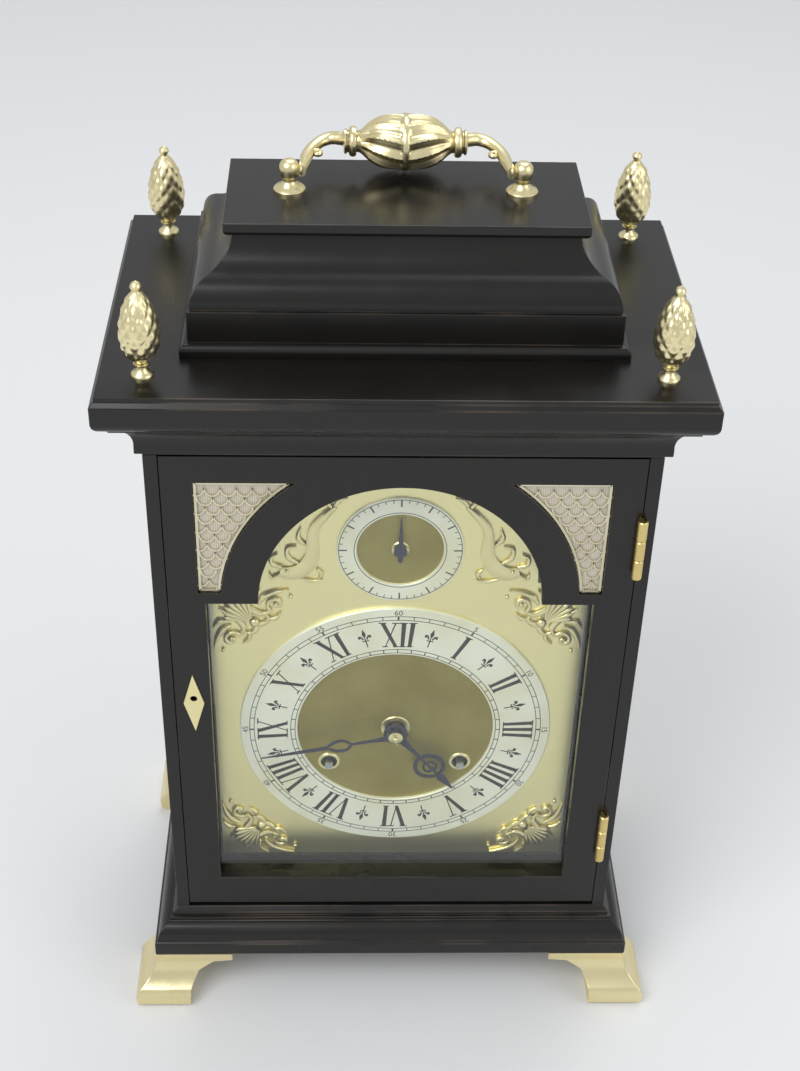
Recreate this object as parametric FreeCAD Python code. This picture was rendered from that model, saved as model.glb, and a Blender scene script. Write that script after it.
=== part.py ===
"""Bracket clock with an inverted bell top, modelled as separate pieces.

Millimetres. x runs to the viewer's right, y from front to back and z up. The origin is on the
floor under the middle of the case. The model stands in its rest pose: doors shut, handle folded
back, hands at 4:43, both trains in mesh.
"""
import FreeCAD, Part
import math
import os

os.makedirs("parts", exist_ok=True)

# ---------------------------------------------------------------- driving dimensions
HALF_W = 112.5            # case body, half width
HALF_D = 68.0             # case body, half depth
FRONT = -HALF_D           # front face of the case body
BACK = HALF_D
FEET_H = 30.0
BODY_Z0 = 54.5            # top of the base moulding
BODY_Z1 = 339.7           # underside of the cornice
CORNICE_Z1 = 378.0
BELL_Z1 = 425.0
CAP_Z1 = 431.0

DOOR_HALF = 106.0
DOOR_Z0 = 57.0
DOOR_Z1 = 339.0
FRONT_DOOR_T = 16.0
BACK_DOOR_T = 12.0
OPENING_HALF = 89.0       # glazed opening of the front door
OPENING_Z0 = 76.0
SPRING_Z = 258.0          # shoulders of the break-arch
ARCH_R = 65.0

HINGE_Z = (92.0, 276.0)   # foot of each butt hinge
HINGE_H = 32.0
HINGE_X = 106.15          # pin of the hinges, just outside the doors' edges
FRONT_HINGE_Y = FRONT - 2.7
BACK_HINGE_Y = BACK + 2.7
KNUCKLE_R = 2.4
WINDOW_HALF = 22.0        # side windows

PIVOT_X = 50.0            # handle: its posts, and the grip in its folded place
PIVOT_Z = 441.0
GRIP_Y = 21.0
GRIP_Z = 444.6

DIAL_Z = 166.0            # centre of the hands
DIAL_BACK_Y = -48.0       # rear face of the dial plate
RING_R = 77.5             # chapter ring
RING_INNER_R = 48.5
ARCH_RING_Z = 277.0       # centre of the strike/silent ring
HOUR_ANGLE = 141.5        # 4:43, clockwise from twelve
MINUTE_ANGLE = 258.0

FRONT_PLATE = (-34.0, -31.5)
BACK_PLATE = (28.0, 30.5)
ARBOR_R = 1.2
RUNNING = 0.05            # radial clearance of every shaft in its hole
SMALL_FLATS = 8           # small round work is drawn with this many flats
PIVOT_FLATS = 6           # and the arbors of the trains, with their holes, with this many

# Arbor centres, seen from the front, and the wheel modules between them.
CENTRE = (0.0, DIAL_Z)
GOING = (33.0, 143.0)
STRIKE = (-33.0, 143.0)
ESCAPE = (0.0, 213.0)
PALLET = (0.0, 232.0)
GREAT_M = math.dist(GOING, CENTRE) * 2 / (72 + 6)
CENTRE_M = 0.70
THIRD_M = 0.68
STRIKE_M = 1.08
PIN_M = 0.76
WARN_M = 0.7086
MOTION_DISTANCE = 16.0
BOB_Z = PALLET[1] - 154.9  # half-length of a 38-tooth, 9120 beat train


def polar(centre, radius, degrees):
    """Point at an angle counter-clockwise from +x, seen from the front."""
    angle = math.radians(degrees)
    return (centre[0] + radius * math.cos(angle), centre[1] + radius * math.sin(angle))


def meet(a, ra, b, rb):
    """Point at distance ra from a and rb from b, on the +x side of the line from a to b."""
    gap = math.dist(a, b)
    along = (ra * ra - rb * rb + gap * gap) / (2 * gap)
    off = math.sqrt(ra * ra - along * along)
    ux, uz = (b[0] - a[0]) / gap, (b[1] - a[1]) / gap
    return (a[0] + along * ux + off * uz, a[1] + along * uz - off * ux)


THIRD = meet(CENTRE, CENTRE_M * (72 + 6) / 2, ESCAPE, THIRD_M * (60 + 6) / 2)
PIN = polar(STRIKE, STRIKE_M * (60 + 6) / 2, 95)
WARNING = polar(PIN, PIN_M * (48 + 6) / 2, 60)
FLY = polar(WARNING, WARN_M * (36 + 6) / 2, 75)
MINUTE = polar(CENTRE, MOTION_DISTANCE, 270)
HAMMER = (-62.0, 212.0)


# ---------------------------------------------------------------- shape helpers
CORNER = math.cos(math.pi / SMALL_FLATS)


def place(axis, u, v, along):
    """Outline coordinates to space: z outlines lie in xy, y outlines in xz, x outlines in yz."""
    if axis == "x":
        return FreeCAD.Vector(along, u, v)
    if axis == "y":
        return FreeCAD.Vector(u, along, v)
    return FreeCAD.Vector(u, v, along)


def prism(steps, axis, start, end):
    """Extrude a closed outline. A step is a corner (u, v), or (um, vm, u, v) for an arc."""
    edges = []
    here = steps[0][-2:]
    for step in list(steps[1:]) + [steps[0][-2:]]:
        there = step[-2:]
        a = place(axis, *here, start)
        b = place(axis, *there, start)
        if len(step) == 4:
            edges.append(Part.Arc(a, place(axis, step[0], step[1], start), b).toShape())
        elif a.distanceToPoint(b) > 1e-6:
            edges.append(Part.makeLine(a, b))
        here = there
    face = Part.Face(Part.Wire(edges))
    return face.extrude(place(axis, 0, 0, end - start))


def box(x, y, z):
    """Block between three (low, high) pairs."""
    size = (x[1] - x[0], y[1] - y[0], z[1] - z[0])
    return Part.makeBox(*size, FreeCAD.Vector(x[0], y[0], z[0]))


def bar(radius, axis, centre, start, end, flats=SMALL_FLATS):
    """Straight bar with flats in place of a small radius; a flat faces each main direction."""
    corners = [polar(centre, radius, (i + 0.5) * 360 / flats) for i in range(flats)]
    return prism(corners, axis, start, end)


def bored(shape, centre, radius, axis="y", start=-80, end=80, flats=SMALL_FLATS):
    """Cut a hole whose flats lie on the given radius."""
    corner_radius = radius / math.cos(math.pi / flats)
    return shape.cut(bar(corner_radius, axis, centre, start, end, flats))


def turned(profile, axis, centre, start, flats):
    """Turned piece from (radius, height) points, drawn as bands of flats between the points."""
    rings = []
    for radius, height in profile:
        corners = [polar(centre, radius, (i + 0.5) * 360 / flats) for i in range(flats)]
        rings.append([place(axis, u, v, start + height) for u, v in corners])
    faces = [Part.Face(Part.makePolygon(ring + [ring[0]])) for ring in (rings[0], rings[-1])]
    for low, high in zip(rings, rings[1:]):
        for i in range(flats):
            j = (i + 1) % flats
            faces.append(Part.Face(Part.makePolygon([low[i], low[j], high[j], high[i], low[i]])))
    solid = Part.Solid(Part.Shell(faces))
    if solid.Volume < 0:
        solid.reverse()
    return solid


def mirrored(shape, axis):
    """Mirror through the origin's plane across an axis."""
    return shape.mirror(FreeCAD.Vector(0, 0, 0), place(axis, 0, 0, 1))


def group(*shapes):
    """Separate solids that share one node."""
    return Part.makeCompound([s for shape in shapes for s in shape.Solids])


def silhouette(steps, half):
    """Close an (offset, z) moulding section into a symmetrical outline of half width + offset."""
    right = [tuple(v + half * (i % 2 == 0) for i, v in enumerate(s)) for s in steps]
    left = [(-right[-1][-2], right[-1][-1])]
    for i in range(len(right) - 1, 0, -1):
        end = right[i - 1][-2:]
        if len(right[i]) == 4:
            left.append((-right[i][0], right[i][1], -end[0], end[1]))
        else:
            left.append((-end[0], end[1]))
    return right + left


def moulded(steps):
    """Mitred moulding all round the case: the front and side silhouettes intersected."""
    front = prism(silhouette(steps, HALF_W), "y", -120, 120)
    side = prism(silhouette(steps, HALF_D), "x", -160, 160)
    return front.common(side)


def break_arch(half, low, spring, radius, grow=0.0):
    """Outline of a break-arch opening in x, z, grown outwards by a margin."""
    side = half + grow
    arc = radius + grow
    foot = math.sqrt(arc * arc - grow * grow)
    return [(-side, low - grow), (side, low - grow), (side, spring + grow), (foot, spring + grow),
            (0, spring + arc, -foot, spring + grow), (-side, spring + grow)]


# ---------------------------------------------------------------- gear helpers
def toothed(tooth, teeth, centre, phase, y):
    """Prism whose outline repeats one tooth, given as (radius, part of a pitch) corners."""
    corners = []
    for i in range(teeth):
        for radius, share in tooth:
            corners.append(polar(centre, radius, phase + (i + share) * 360 / teeth))
    return prism(corners, "y", y[0], y[1])


def wheel(teeth, module, centre, phase, y, crossings=3, hub=3.4, rim=2.0):
    """Pointed-tooth wheel with windows between its crossings."""
    pitch = teeth * module / 2
    root = pitch - 1.2 * module
    shape = toothed([(root, -0.5), (pitch + 0.9 * module, 0)], teeth, centre, phase, y)
    step = 360 / crossings if crossings else 0
    for i in range(crossings):
        outer = root - rim
        arm = math.degrees(1.3 / outer)
        window = [polar(centre, hub, (i + 0.5) * step),
                  polar(centre, outer, i * step + arm),
                  polar(centre, outer, (i + 1 / 3) * step),
                  polar(centre, outer, (i + 2 / 3) * step),
                  polar(centre, outer, (i + 1) * step - arm)]
        shape = shape.cut(prism(window, "y", y[0] - 1, y[1] + 1))
    return shape


def pinion(leaves, module, centre, phase, y):
    """Pinion with plain pointed leaves."""
    pitch = leaves * module / 2
    leaf = [(pitch - 1.25 * module, -0.5), (pitch + 0.7 * module, 0)]
    return toothed(leaf, leaves, centre, phase, y)


def mesh(centre_a, teeth_a, phase_a, centre_b, teeth_b):
    """Phase that puts a tooth space of b on the tooth of a that points at it."""
    toward = math.degrees(math.atan2(centre_b[1] - centre_a[1], centre_b[0] - centre_a[0]))
    lead = phase_a - toward
    return toward + 180 - lead * teeth_a / teeth_b + 180 / teeth_b


def arbor(centre, y0=FRONT_PLATE[0], y1=BACK_PLATE[1]):
    return bar(ARBOR_R, "y", centre, y0, y1, PIVOT_FLATS)


# ---------------------------------------------------------------- case
def base_moulding():
    steps = [(12, 30), (12, 37.5), (10.5, 38.5), (8.5, 44.5, 4, 47.5), (4, 50), (2.5, 50),
             (2.5, 52), (0, BODY_Z0)]
    shape = moulded(steps)
    shape = shape.cut(box((-95, 95), (-52, 52), (20, 60)))
    return shape.cut(box((-103, 103), (-64, 64), (48, 60)))


def floor_board():
    return box((-103, 103), (-64, 64), (48, 56.6))


def feet():
    """Four ogee bracket feet: a corner block with a thin wing along each side."""
    ogee = [(19, 0), (22.5, 2), (22.7, 7.5), (21.0, 11), (14.5, 18, 12, 25), (12.5, FEET_H)]
    ring = moulded(ogee).cut(box((-108, 108), (-63.5, 63.5), (-5, 35)))
    front = [(140, -5), (140, 35), (84, 35), (84, 25), (94, 24), (102, 19), (106, 11),
             (106.5, -5)]
    shift = HALF_W - HALF_D
    side = [tuple(v - shift * (i % 2 == 0) for i, v in enumerate(step)) for step in front]
    wings = prism(front, "y", -100, -55).fuse(prism(side, "x", 99, 150))
    corner = ring.common(wings.common(box((0, 150), (-100, 0), (0, FEET_H))))
    right = [corner, mirrored(corner, "y")]
    return group(*right, *[mirrored(s, "x") for s in right])


def hinge_relief(edge_x, y_axis, inward):
    """Pocket in an edge for the two leaves of each hinge."""
    cuts = []
    for z in HINGE_Z:
        y = sorted((y_axis + 2.5 * inward, y_axis + 15.2 * inward))
        cuts.append(box(edge_x, y, (z - 0.2, z + HINGE_H + 0.2)))
    return cuts


def window_outline():
    half = WINDOW_HALF
    return [(-half, 110), (half, 110), (half, 250), (0, 250 + half, -half, 250)]


def side_panel(sign):
    """Side panel with rebates for both doors and an arched window, recessed for its fret."""
    panel = box((103, HALF_W), (FRONT, BACK), (BODY_Z0, BODY_Z1))
    panel = panel.cut(box((100, 106.3), (FRONT - 1, FRONT + FRONT_DOOR_T + 0.3), (50, 345)))
    panel = panel.cut(box((100, 106.3), (BACK - BACK_DOOR_T - 0.3, BACK + 1), (50, 345)))
    panel = panel.cut(prism(window_outline(), "x", 100, 120))
    panel = panel.cut(box((100, 104.4), (-25, 25), (107, 275)))
    if sign > 0:
        for cut in hinge_relief((106, 107.6), FRONT_HINGE_Y, 1):
            panel = panel.cut(cut)
        for cut in hinge_relief((106, 107.6), BACK_HINGE_Y, -1):
            panel = panel.cut(cut)
        return panel
    panel = mirrored(panel, "x")
    bolt_slot = box((-111, -106), (FRONT + 7.6, FRONT + 12.4), (193.6, 202.4))
    return panel.cut(bolt_slot)


def diamonds(shape, axis, start, end, centres, half_u, half_v):
    """Pierce a sheet with diamond holes."""
    for u, v in centres:
        hole = [(u - half_u, v), (u, v - half_v), (u + half_u, v), (u, v + half_v)]
        shape = shape.cut(prism(hole, axis, start, end))
    return shape


def side_frets():
    """Pierced brass sheets behind the side windows."""
    sheet = box((103.0, 104.4), (-24.8, 24.8), (107.2, 274.8))
    centres = [(u, 140 + 50 * row) for row in range(3) for u in (-11, 11)]
    centres += [(0, 165 + 50 * row) for row in range(2)]
    sheet = diamonds(sheet, "x", 100, 110, centres, 9.5, 18)
    return group(sheet, mirrored(sheet, "x"))


def cornice():
    steps = [(0, BODY_Z1), (0, 342), (3, 342), (3, 345), (5, 353.5, 12, 358.5), (12, 361),
             (14.5, 361), (17, 363, 18, 366), (18, 374), (16, 376), (16, CORNICE_Z1)]
    return moulded(steps).cut(box((-98, 98), (-46, 46), (BODY_Z1 - 5, 371)))


def bell_top():
    steps = [(-16.5, CORNICE_Z1), (-16.5, 381), (-20, 383.5), (-20, 398),
             (-21.5, 398), (-22.8, 405.5, -29.5, 411), (-36, 416.5, -39, BELL_Z1)]
    return moulded(steps).cut(box((-58, 58), (-16, 16), (CORNICE_Z1 - 5, 415)))


def cap():
    return moulded([(-37.5, BELL_Z1), (-35.5, 427.5), (-35.5, CAP_Z1)])


FINIAL = [(4.8, 0), (4.8, 1.6), (2.2, 4.5), (6.4, 11), (8.9, 19), (7.9, 28), (4.2, 37.5),
          (0.5, 44)]


def finials():
    return group(*[turned(FINIAL, "z", (x, y), CORNICE_Z1, 8) for x in (-110, 110)
                   for y in (-65.5, 65.5)])


# ---------------------------------------------------------------- carrying handle
def handle_posts():
    section = [(7, 0), (7, 2), (4, 4), (3.8, 13), (2, 14.4)]
    post = turned(section, "z", (PIVOT_X, 0), CAP_Z1, 8)
    post = bored(post, (0, PIVOT_Z), 2.0 + RUNNING, "x", 40, 52)
    return group(post, mirrored(post, "x"))


def handle():
    """Bail: two swan-necked arms and a broad baluster grip, folded back over the cap."""
    arm = [(45.6, -4), (41.5, -4), (41.5, 6), (40, 14), (36.5, 20), (32.5, 22.5), (29, 21),
           (25.5, 17.5), (25.5, 25), (28.5, 28), (33, 30.5), (38.5, 29.5), (42.5, 25), (45, 17),
           (45.6, 8)]
    arm = prism(arm, "z", PIVOT_Z - 3, PIVOT_Z + 3)
    arm = arm.fuse(bar(2.0, "x", (0, PIVOT_Z), 44, 51.5))
    section = [(4.5, -27), (6.8, -24), (4.8, -20.5), (11, -13), (12.5, 0), (11, 13),
               (4.8, 20.5), (6.8, 24), (4.5, 27)]
    grip = turned(section, "x", (GRIP_Y, GRIP_Z), 0, 10)
    return grip.fuse([arm, mirrored(arm, "x")]).removeSplitter()


# ---------------------------------------------------------------- doors and their ironwork
def front_door():
    """Break-arch door: glazed opening, glass rebate from behind and two pierced spandrels."""
    y0, y1 = FRONT, FRONT + FRONT_DOOR_T
    door = box((-DOOR_HALF, DOOR_HALF), (y0, y1), (DOOR_Z0, DOOR_Z1))
    door = door.cut(prism(break_arch(OPENING_HALF, OPENING_Z0, SPRING_Z, ARCH_R), "y",
                          y0 - 1, y1 + 1))
    door = door.cut(prism(break_arch(OPENING_HALF, OPENING_Z0, SPRING_Z, ARCH_R, 3), "y",
                          y0 + 5, y1 + 1))
    panel = spandrel_window(0, y0 - 1, y0 + 3)
    door = door.cut(panel).cut(mirrored(panel, "x"))
    for cut in hinge_relief((104.6, 107), FRONT_HINGE_Y, 1):
        door = door.cut(cut)
    door = door.cut(box((-107, -93.9), (y0 + 6.9, y0 + 13.1), (181.9, 214.1)))
    return bored(door, (-97, 201), 1.6, "y", y0 - 1, y0 + 8)


def spandrel_window(shrink, y0, y1):
    """Three-cornered panel between the arch band and the door's corner."""
    radius = 82.0 + shrink
    low, high, right = 264.0 + shrink, 325.0 - shrink, 92.0 - shrink
    first = (math.sqrt(radius**2 - (low - SPRING_Z) ** 2), low)
    last = (math.sqrt(radius**2 - (high - SPRING_Z) ** 2), high)
    angle = (math.atan2(low - SPRING_Z, first[0]) + math.atan2(high - SPRING_Z, last[0])) / 2
    middle = (radius * math.cos(angle), SPRING_Z + radius * math.sin(angle))
    outline = [last, (*middle, *first), (right, low), (right, high)]
    return prism(outline, "y", y0, y1)


def door_frets():
    """Pierced brass sheets let into the two spandrels of the door."""
    y0 = FRONT + 1.2
    sheet = spandrel_window(0.15, y0, FRONT + 3)
    centres = [(86, 280), (86, 297), (86, 314), (76, 309)]
    sheet = diamonds(sheet, "y", y0 - 1, y0 + 4, centres, 3.6, 7)
    return group(sheet, mirrored(sheet, "x"))


def front_door_glass():
    outline = break_arch(OPENING_HALF, OPENING_Z0, SPRING_Z, ARCH_R, 2.7)
    return prism(outline, "y", FRONT + 5, FRONT + 7)


def escutcheon():
    """Long diamond plate round the keyhole."""
    plate = prism([(-102, 198), (-97, 180), (-92, 198), (-97, 216)], "y", FRONT - 1, FRONT)
    return bored(plate, (-97, 201), 1.6, "y", FRONT - 3, FRONT + 1)


def lock_body():
    """Box lock let into the door's edge, open at the side for its bolt."""
    y0 = FRONT + 7
    case = box((-105.8, -94), (y0, y0 + 6), (182, 214))
    case = case.cut(box((-107, -98), (y0 + 0.9, y0 + 5.1), (193.9, 202.1)))
    return bored(case, (-97, 201), 1.6, "y", y0 - 1, y0 + 0.9)


def lock_bolt():
    return box((-105.7, -99), (FRONT + 8, FRONT + 12), (194, 202))


def hinge_pair(y_axis, inward, door_side):
    """Leaves of two butt hinges. The case leaves keep the end knuckles and the pin."""
    solids = []
    for z in HINGE_Z:
        third = HINGE_H / 3
        spans = [(z, z + third - 0.1), (z + 2 * third + 0.1, z + HINGE_H)]
        if door_side:
            spans = [(z + third + 0.1, z + 2 * third - 0.1)]
        x = (104.8, HINGE_X - 0.3) if door_side else (HINGE_X + 0.3, 107.4)
        y_plate = sorted((y_axis + 2.7 * inward, y_axis + 15 * inward))
        leaf = box(x, y_plate, (z, z + HINGE_H))
        for low, high in spans:
            y_tab = sorted((y_axis, y_axis + 3 * inward))
            leaf = leaf.fuse(bar(KNUCKLE_R, "z", (HINGE_X, y_axis), low, high, PIVOT_FLATS))
            leaf = leaf.fuse(box(x, y_tab, (low, high)))
        if door_side:
            leaf = bored(leaf, (HINGE_X, y_axis), 0.9 + RUNNING, "z", z - 1, z + HINGE_H + 1,
                         PIVOT_FLATS)
        else:
            leaf = leaf.fuse(bar(0.9, "z", (HINGE_X, y_axis), z + 1, z + HINGE_H - 1, PIVOT_FLATS))
        solids.append(leaf.removeSplitter())
    return group(*solids)


def back_door():
    """Plain glazed door under a segmental arch."""
    y0, y1 = BACK - BACK_DOOR_T, BACK
    door = box((-DOOR_HALF, DOOR_HALF), (y0, y1), (DOOR_Z0, DOOR_Z1))
    door = door.cut(prism(back_opening(0), "y", y0 - 1, y1 + 1))
    door = door.cut(prism(back_opening(3), "y", y0 - 1, y1 - 5))
    for cut in hinge_relief((104.6, 107), BACK_HINGE_Y, -1):
        door = door.cut(cut)
    return door


def back_opening(grow):
    half = 88 + grow
    spring, crown = 294 + grow, 318 + grow
    return [(-half, 76 - grow), (half, 76 - grow), (half, spring), (0, crown, -half, spring)]


def back_door_glass():
    return prism(back_opening(2.7), "y", BACK - 7, BACK - 5)


def back_catch():
    """Turn button on the back edge of the left side panel, across the door."""
    bar_shape = [(-111, 194), (-111, 198), (-99, 197.4), (-98, 196), (-99, 194.6)]
    button = prism(bar_shape, "y", BACK + 0.4, BACK + 2.4)
    return button.fuse(bar(1.5, "y", (-109.4, 196), BACK, BACK + 3.2)).removeSplitter()


# ---------------------------------------------------------------- inside the case
def dial_mask():
    frame = box((-102.9, 102.9), (-51, -45), (56.8, 339.5))
    return frame.cut(prism(break_arch(88.7, 76.3, 257.7, 64.7, 0.5), "y", -60, -40))


def seat_cheeks():
    cheek = box((88, 102.9), (-44.5, 30), (56.6, 80))
    return group(cheek, mirrored(cheek, "x"))


def seat_board():
    board = box((-102.9, 102.9), (-44.5, 30), (80, 90))
    for x in (-66, 66):
        board = bored(board, (x, 0), 2.5, "z", 70, 95)
    return board


def seat_bolts():
    """Two bolts up through the seat board into the lower pillars."""
    bolts = []
    for x in (-66, 66):
        head = bar(5, "z", (x, 0), 76, 80)
        bolts.append(head.fuse(bar(2.5 / CORNER, "z", (x, 0), 79, 94)).removeSplitter())
    return group(*bolts)


# ---------------------------------------------------------------- dial
def dial_plate():
    """Break-arch plate with its four feet riveted on, bored for the arbors."""
    plate = prism(break_arch(88.7, 76.3, 257.7, 64.7), "y", DIAL_BACK_Y - 2, DIAL_BACK_Y)
    for x in (-62, 62):
        for z in (100, 228):
            plate = plate.fuse(bar(2.5, "y", (x, z), DIAL_BACK_Y, FRONT_PLATE[0], PIVOT_FLATS))
    plate = bored(plate, CENTRE, 5.0)
    plate = bored(plate, GOING, 4.0)
    plate = bored(plate, STRIKE, 4.0)
    return bored(plate, (0, ARCH_RING_Z), 1.5 + RUNNING)


def ring(centre, outer, inner, y0, y1, flats):
    """Flat ring drawn with short straight sides."""
    shape = bar(outer, "y", centre, y0, y1, flats)
    return shape.cut(bar(inner, "y", centre, y0 - 1, y1 + 1, flats))


def chapter_ring():
    return ring(CENTRE, RING_R, RING_INNER_R, DIAL_BACK_Y - 3.5, DIAL_BACK_Y - 2, 32)


def strike_silent_ring():
    return ring((0, ARCH_RING_Z), 30, 20, DIAL_BACK_Y - 3.2, DIAL_BACK_Y - 2, 20)


def corner_spandrels():
    """Cast scroll ornaments that fill the dial's corners outside the chapter ring."""
    scroll = [(86.5, 88.5), (86.5, 57), (80, 52), (75, 57), (70, 55), (65, 60), (67, 66),
              (61, 65), (57, 70), (60, 75), (54, 74), (50, 80), (53, 88.5)]
    corner = prism([(x, z + DIAL_Z) for x, z in scroll], "y", DIAL_BACK_Y - 4.5, DIAL_BACK_Y - 2)
    lower = corner.mirror(FreeCAD.Vector(0, 0, DIAL_Z), FreeCAD.Vector(0, 0, 1))
    right = [corner, lower]
    return group(*right, *[mirrored(s, "x") for s in right])


def arch_spandrels():
    """Dolphin-shaped ornaments either side of the strike/silent ring."""
    dolphin = [(33, 263), (40, 259), (53, 259), (60, 265), (57, 275), (48, 272), (44, 277),
               (50, 284), (42, 293), (35, 301), (26, 305), (31, 294), (35.5, 283), (36.5, 272)]
    shape = prism(dolphin, "y", DIAL_BACK_Y - 4.5, DIAL_BACK_Y - 2)
    return group(shape, mirrored(shape, "x"))


def hand_outline(centre, degrees, points):
    """Points (along, across) of half a hand, mirrored and turned clockwise from 12 o'clock."""
    full = list(points) + [(a, -b) for a, b in reversed(points)]
    angle = math.radians(degrees)
    ca, sa = math.cos(angle), math.sin(angle)
    return [(centre[0] + a * sa + b * ca, centre[1] + a * ca - b * sa) for a, b in full]


def hour_hand():
    points = [(-6, 2.5), (-4, 6), (4, 6), (14, 2), (22, 2), (26, 8), (34, 8), (38, 2.5),
              (44, 1.2), (48, 0.3)]
    hand = prism(hand_outline(CENTRE, HOUR_ANGLE, points), "y", -55.6, -54.4)
    return hand.cut(bar(4.0, "y", CENTRE, -60, -50))


def minute_hand():
    points = [(-6, 2), (-3, 4), (4, 4), (12, 1.6), (24, 1.6), (30, 4), (36, 1.4), (60, 1.0),
              (69, 0.3)]
    hand = prism(hand_outline(CENTRE, MINUTE_ANGLE, points), "y", -58.0, -56.8)
    return hand.cut(bar(2.4, "y", CENTRE, -60, -50))


def strike_silent_hand():
    points = [(-6, 2), (-3, 3.4), (3, 3.4), (8, 1.3), (18, 0.8), (20, 0.2)]
    hand = prism(hand_outline((0, ARCH_RING_Z), 0, points), "y", -53.0, -52.0)
    return hand.fuse(bar(1.5, "y", (0, ARCH_RING_Z), -53.0, -44)).removeSplitter()


# ---------------------------------------------------------------- movement
def movement_plate(y, holes):
    plate = box((-74, 74), y, (90, 242))
    for centre, radius in holes:
        flats = SMALL_FLATS if radius > ARBOR_R else PIVOT_FLATS
        plate = bored(plate, centre, radius + RUNNING, flats=flats)
    return plate


PIVOTS = [(THIRD, ARBOR_R), (ESCAPE, ARBOR_R), (PIN, ARBOR_R), (WARNING, ARBOR_R),
          (FLY, ARBOR_R), (PALLET, ARBOR_R), (HAMMER, ARBOR_R), (GOING, 3.0), (STRIKE, 3.0)]


def front_plate():
    return movement_plate(FRONT_PLATE, PIVOTS + [(CENTRE, 2.0)])


def back_plate():
    return movement_plate(BACK_PLATE, PIVOTS + [(CENTRE, ARBOR_R)])


def pillars():
    """Four turned pillars that space the plates."""
    return group(*[bar(5 / CORNER, "y", (x, z), FRONT_PLATE[1], BACK_PLATE[0])
                   for x in (-66, 66) for z in (99, 234)])


def barrel(centre, radius, drum, great, teeth, module, phase):
    """Spring drum with its great wheel, running on the winding arbor."""
    shape = wheel(teeth, module, centre, phase, great, crossings=0)
    shape = shape.fuse(bar(radius, "y", centre, drum[0], drum[1], 20))
    return bored(shape, centre, 3.0 + RUNNING).removeSplitter()


def winding_arbor(centre):
    """Arbor with its ratchet wheel and the winding square behind the dial's hole."""
    shape = bar(3.0, "y", centre, -37.5, BACK_PLATE[1])
    x, z = centre
    shape = shape.fuse(box((x - 1.8, x + 1.8), (-53.8, -37.5), (z - 1.8, z + 1.8)))
    teeth = toothed([(8.3, 0), (10.4, 0.08)], 12, centre, 0, (-37.5, -35.2))
    return shape.fuse(teeth).removeSplitter()


def click(centre):
    """Pawl on the front plate with its tip in a space of the ratchet wheel."""
    outline = [polar(centre, r, a) for r, a in ((9.3, 57), (11.6, 59.5), (14.2, 46), (18, 30),
                                                (18.4, 20), (15, 14), (13.2, 26), (11.2, 47))]
    shape = prism(outline, "y", -37.3, -35.2)
    return shape.fuse(bar(1.2, "y", polar(centre, 16, 22), -37.3, FRONT_PLATE[0]))


# Phases of the going train, each from the last, starting with a tooth of the centre pinion.
CENTRE_PHASE = 10.0
GOING_PHASE = mesh(CENTRE, 6, CENTRE_PHASE, GOING, 72)
THIRD_PHASE = mesh(CENTRE, 72, CENTRE_PHASE, THIRD, 6)
ESCAPE_PHASE = mesh(THIRD, 60, THIRD_PHASE, ESCAPE, 6)
STRIKE_PHASE = 0.0
PIN_PHASE = mesh(STRIKE, 60, STRIKE_PHASE, PIN, 6)
WARNING_PHASE = mesh(PIN, 48, PIN_PHASE, WARNING, 6)
FLY_PHASE = mesh(WARNING, 36, WARNING_PHASE, FLY, 6)
MINUTE_PHASE = mesh(CENTRE, 8, CENTRE_PHASE, MINUTE, 24)
HOUR_PHASE = mesh(MINUTE, 8, MINUTE_PHASE, CENTRE, 32)
MINUTE_M = MOTION_DISTANCE * 2 / (8 + 24)
HOUR_M = MOTION_DISTANCE * 2 / (8 + 32)


def centre_wheel():
    shape = wheel(72, CENTRE_M, CENTRE, CENTRE_PHASE, (10, 11.5))
    shape = shape.fuse(pinion(6, GREAT_M, CENTRE, CENTRE_PHASE, (-28.5, -22)))
    return shape.fuse(arbor(CENTRE, -58.0)).removeSplitter()


def third_wheel():
    shape = wheel(60, THIRD_M, THIRD, THIRD_PHASE, (-2, -0.5))
    shape = shape.fuse(pinion(6, CENTRE_M, THIRD, THIRD_PHASE, (8, 14)))
    return shape.fuse(arbor(THIRD)).removeSplitter()


def escape_wheel():
    """38 undercut teeth, all leaning the way the wheel turns."""
    teeth = toothed([(10.6, 0), (13.0, 0.42)], 38, ESCAPE, 0, (18, 19.5))
    shape = teeth.fuse(pinion(6, THIRD_M, ESCAPE, ESCAPE_PHASE, (-4, 2)))
    return shape.fuse(arbor(ESCAPE)).removeSplitter()


def pallets():
    """Anchor over the escape wheel with its crutch behind the back plate."""
    x, z = PALLET
    anchor = [(-3, z + 2.5), (3, z + 2.5), (13.6, z - 8), (14.2, z - 12.8), (12.9, z - 14.0),
              (10.4, z - 8.5), (0, z - 3.6), (-10.4, z - 8.5), (-12.9, z - 14.0),
              (-14.2, z - 12.8), (-13.6, z - 8)]
    shape = prism(anchor, "y", 17, 20.5).fuse(arbor(PALLET, FRONT_PLATE[0], 34.5))
    crutch = box((x - 1.2, x + 1.2), (32.5, 34.5), (z - 42, z))
    fork = box((-3.4, 3.4), (32.5, 39), (z - 46, z - 42))
    fork = fork.cut(box((-1.5, 1.5), (35, 40), (z - 50, z - 40)))
    return shape.fuse([crutch, fork]).removeSplitter()


def pendulum():
    """Flat rod and lenticular bob, hung on a thin spring in line with the pallet arbor."""
    z = PALLET[1]
    rod_bar = box((-1.2, 1.2), (36.5, 38), (BOB_Z, z - 6))
    spring = box((-2.5, 2.5), (37.1, 37.4), (z - 6, z + 5))
    bob = turned([(8, -4), (18, -1), (18, 1), (8, 4)], "y", (0, BOB_Z), 37.2, 20)
    return rod_bar.fuse([spring, bob]).removeSplitter()


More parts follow.
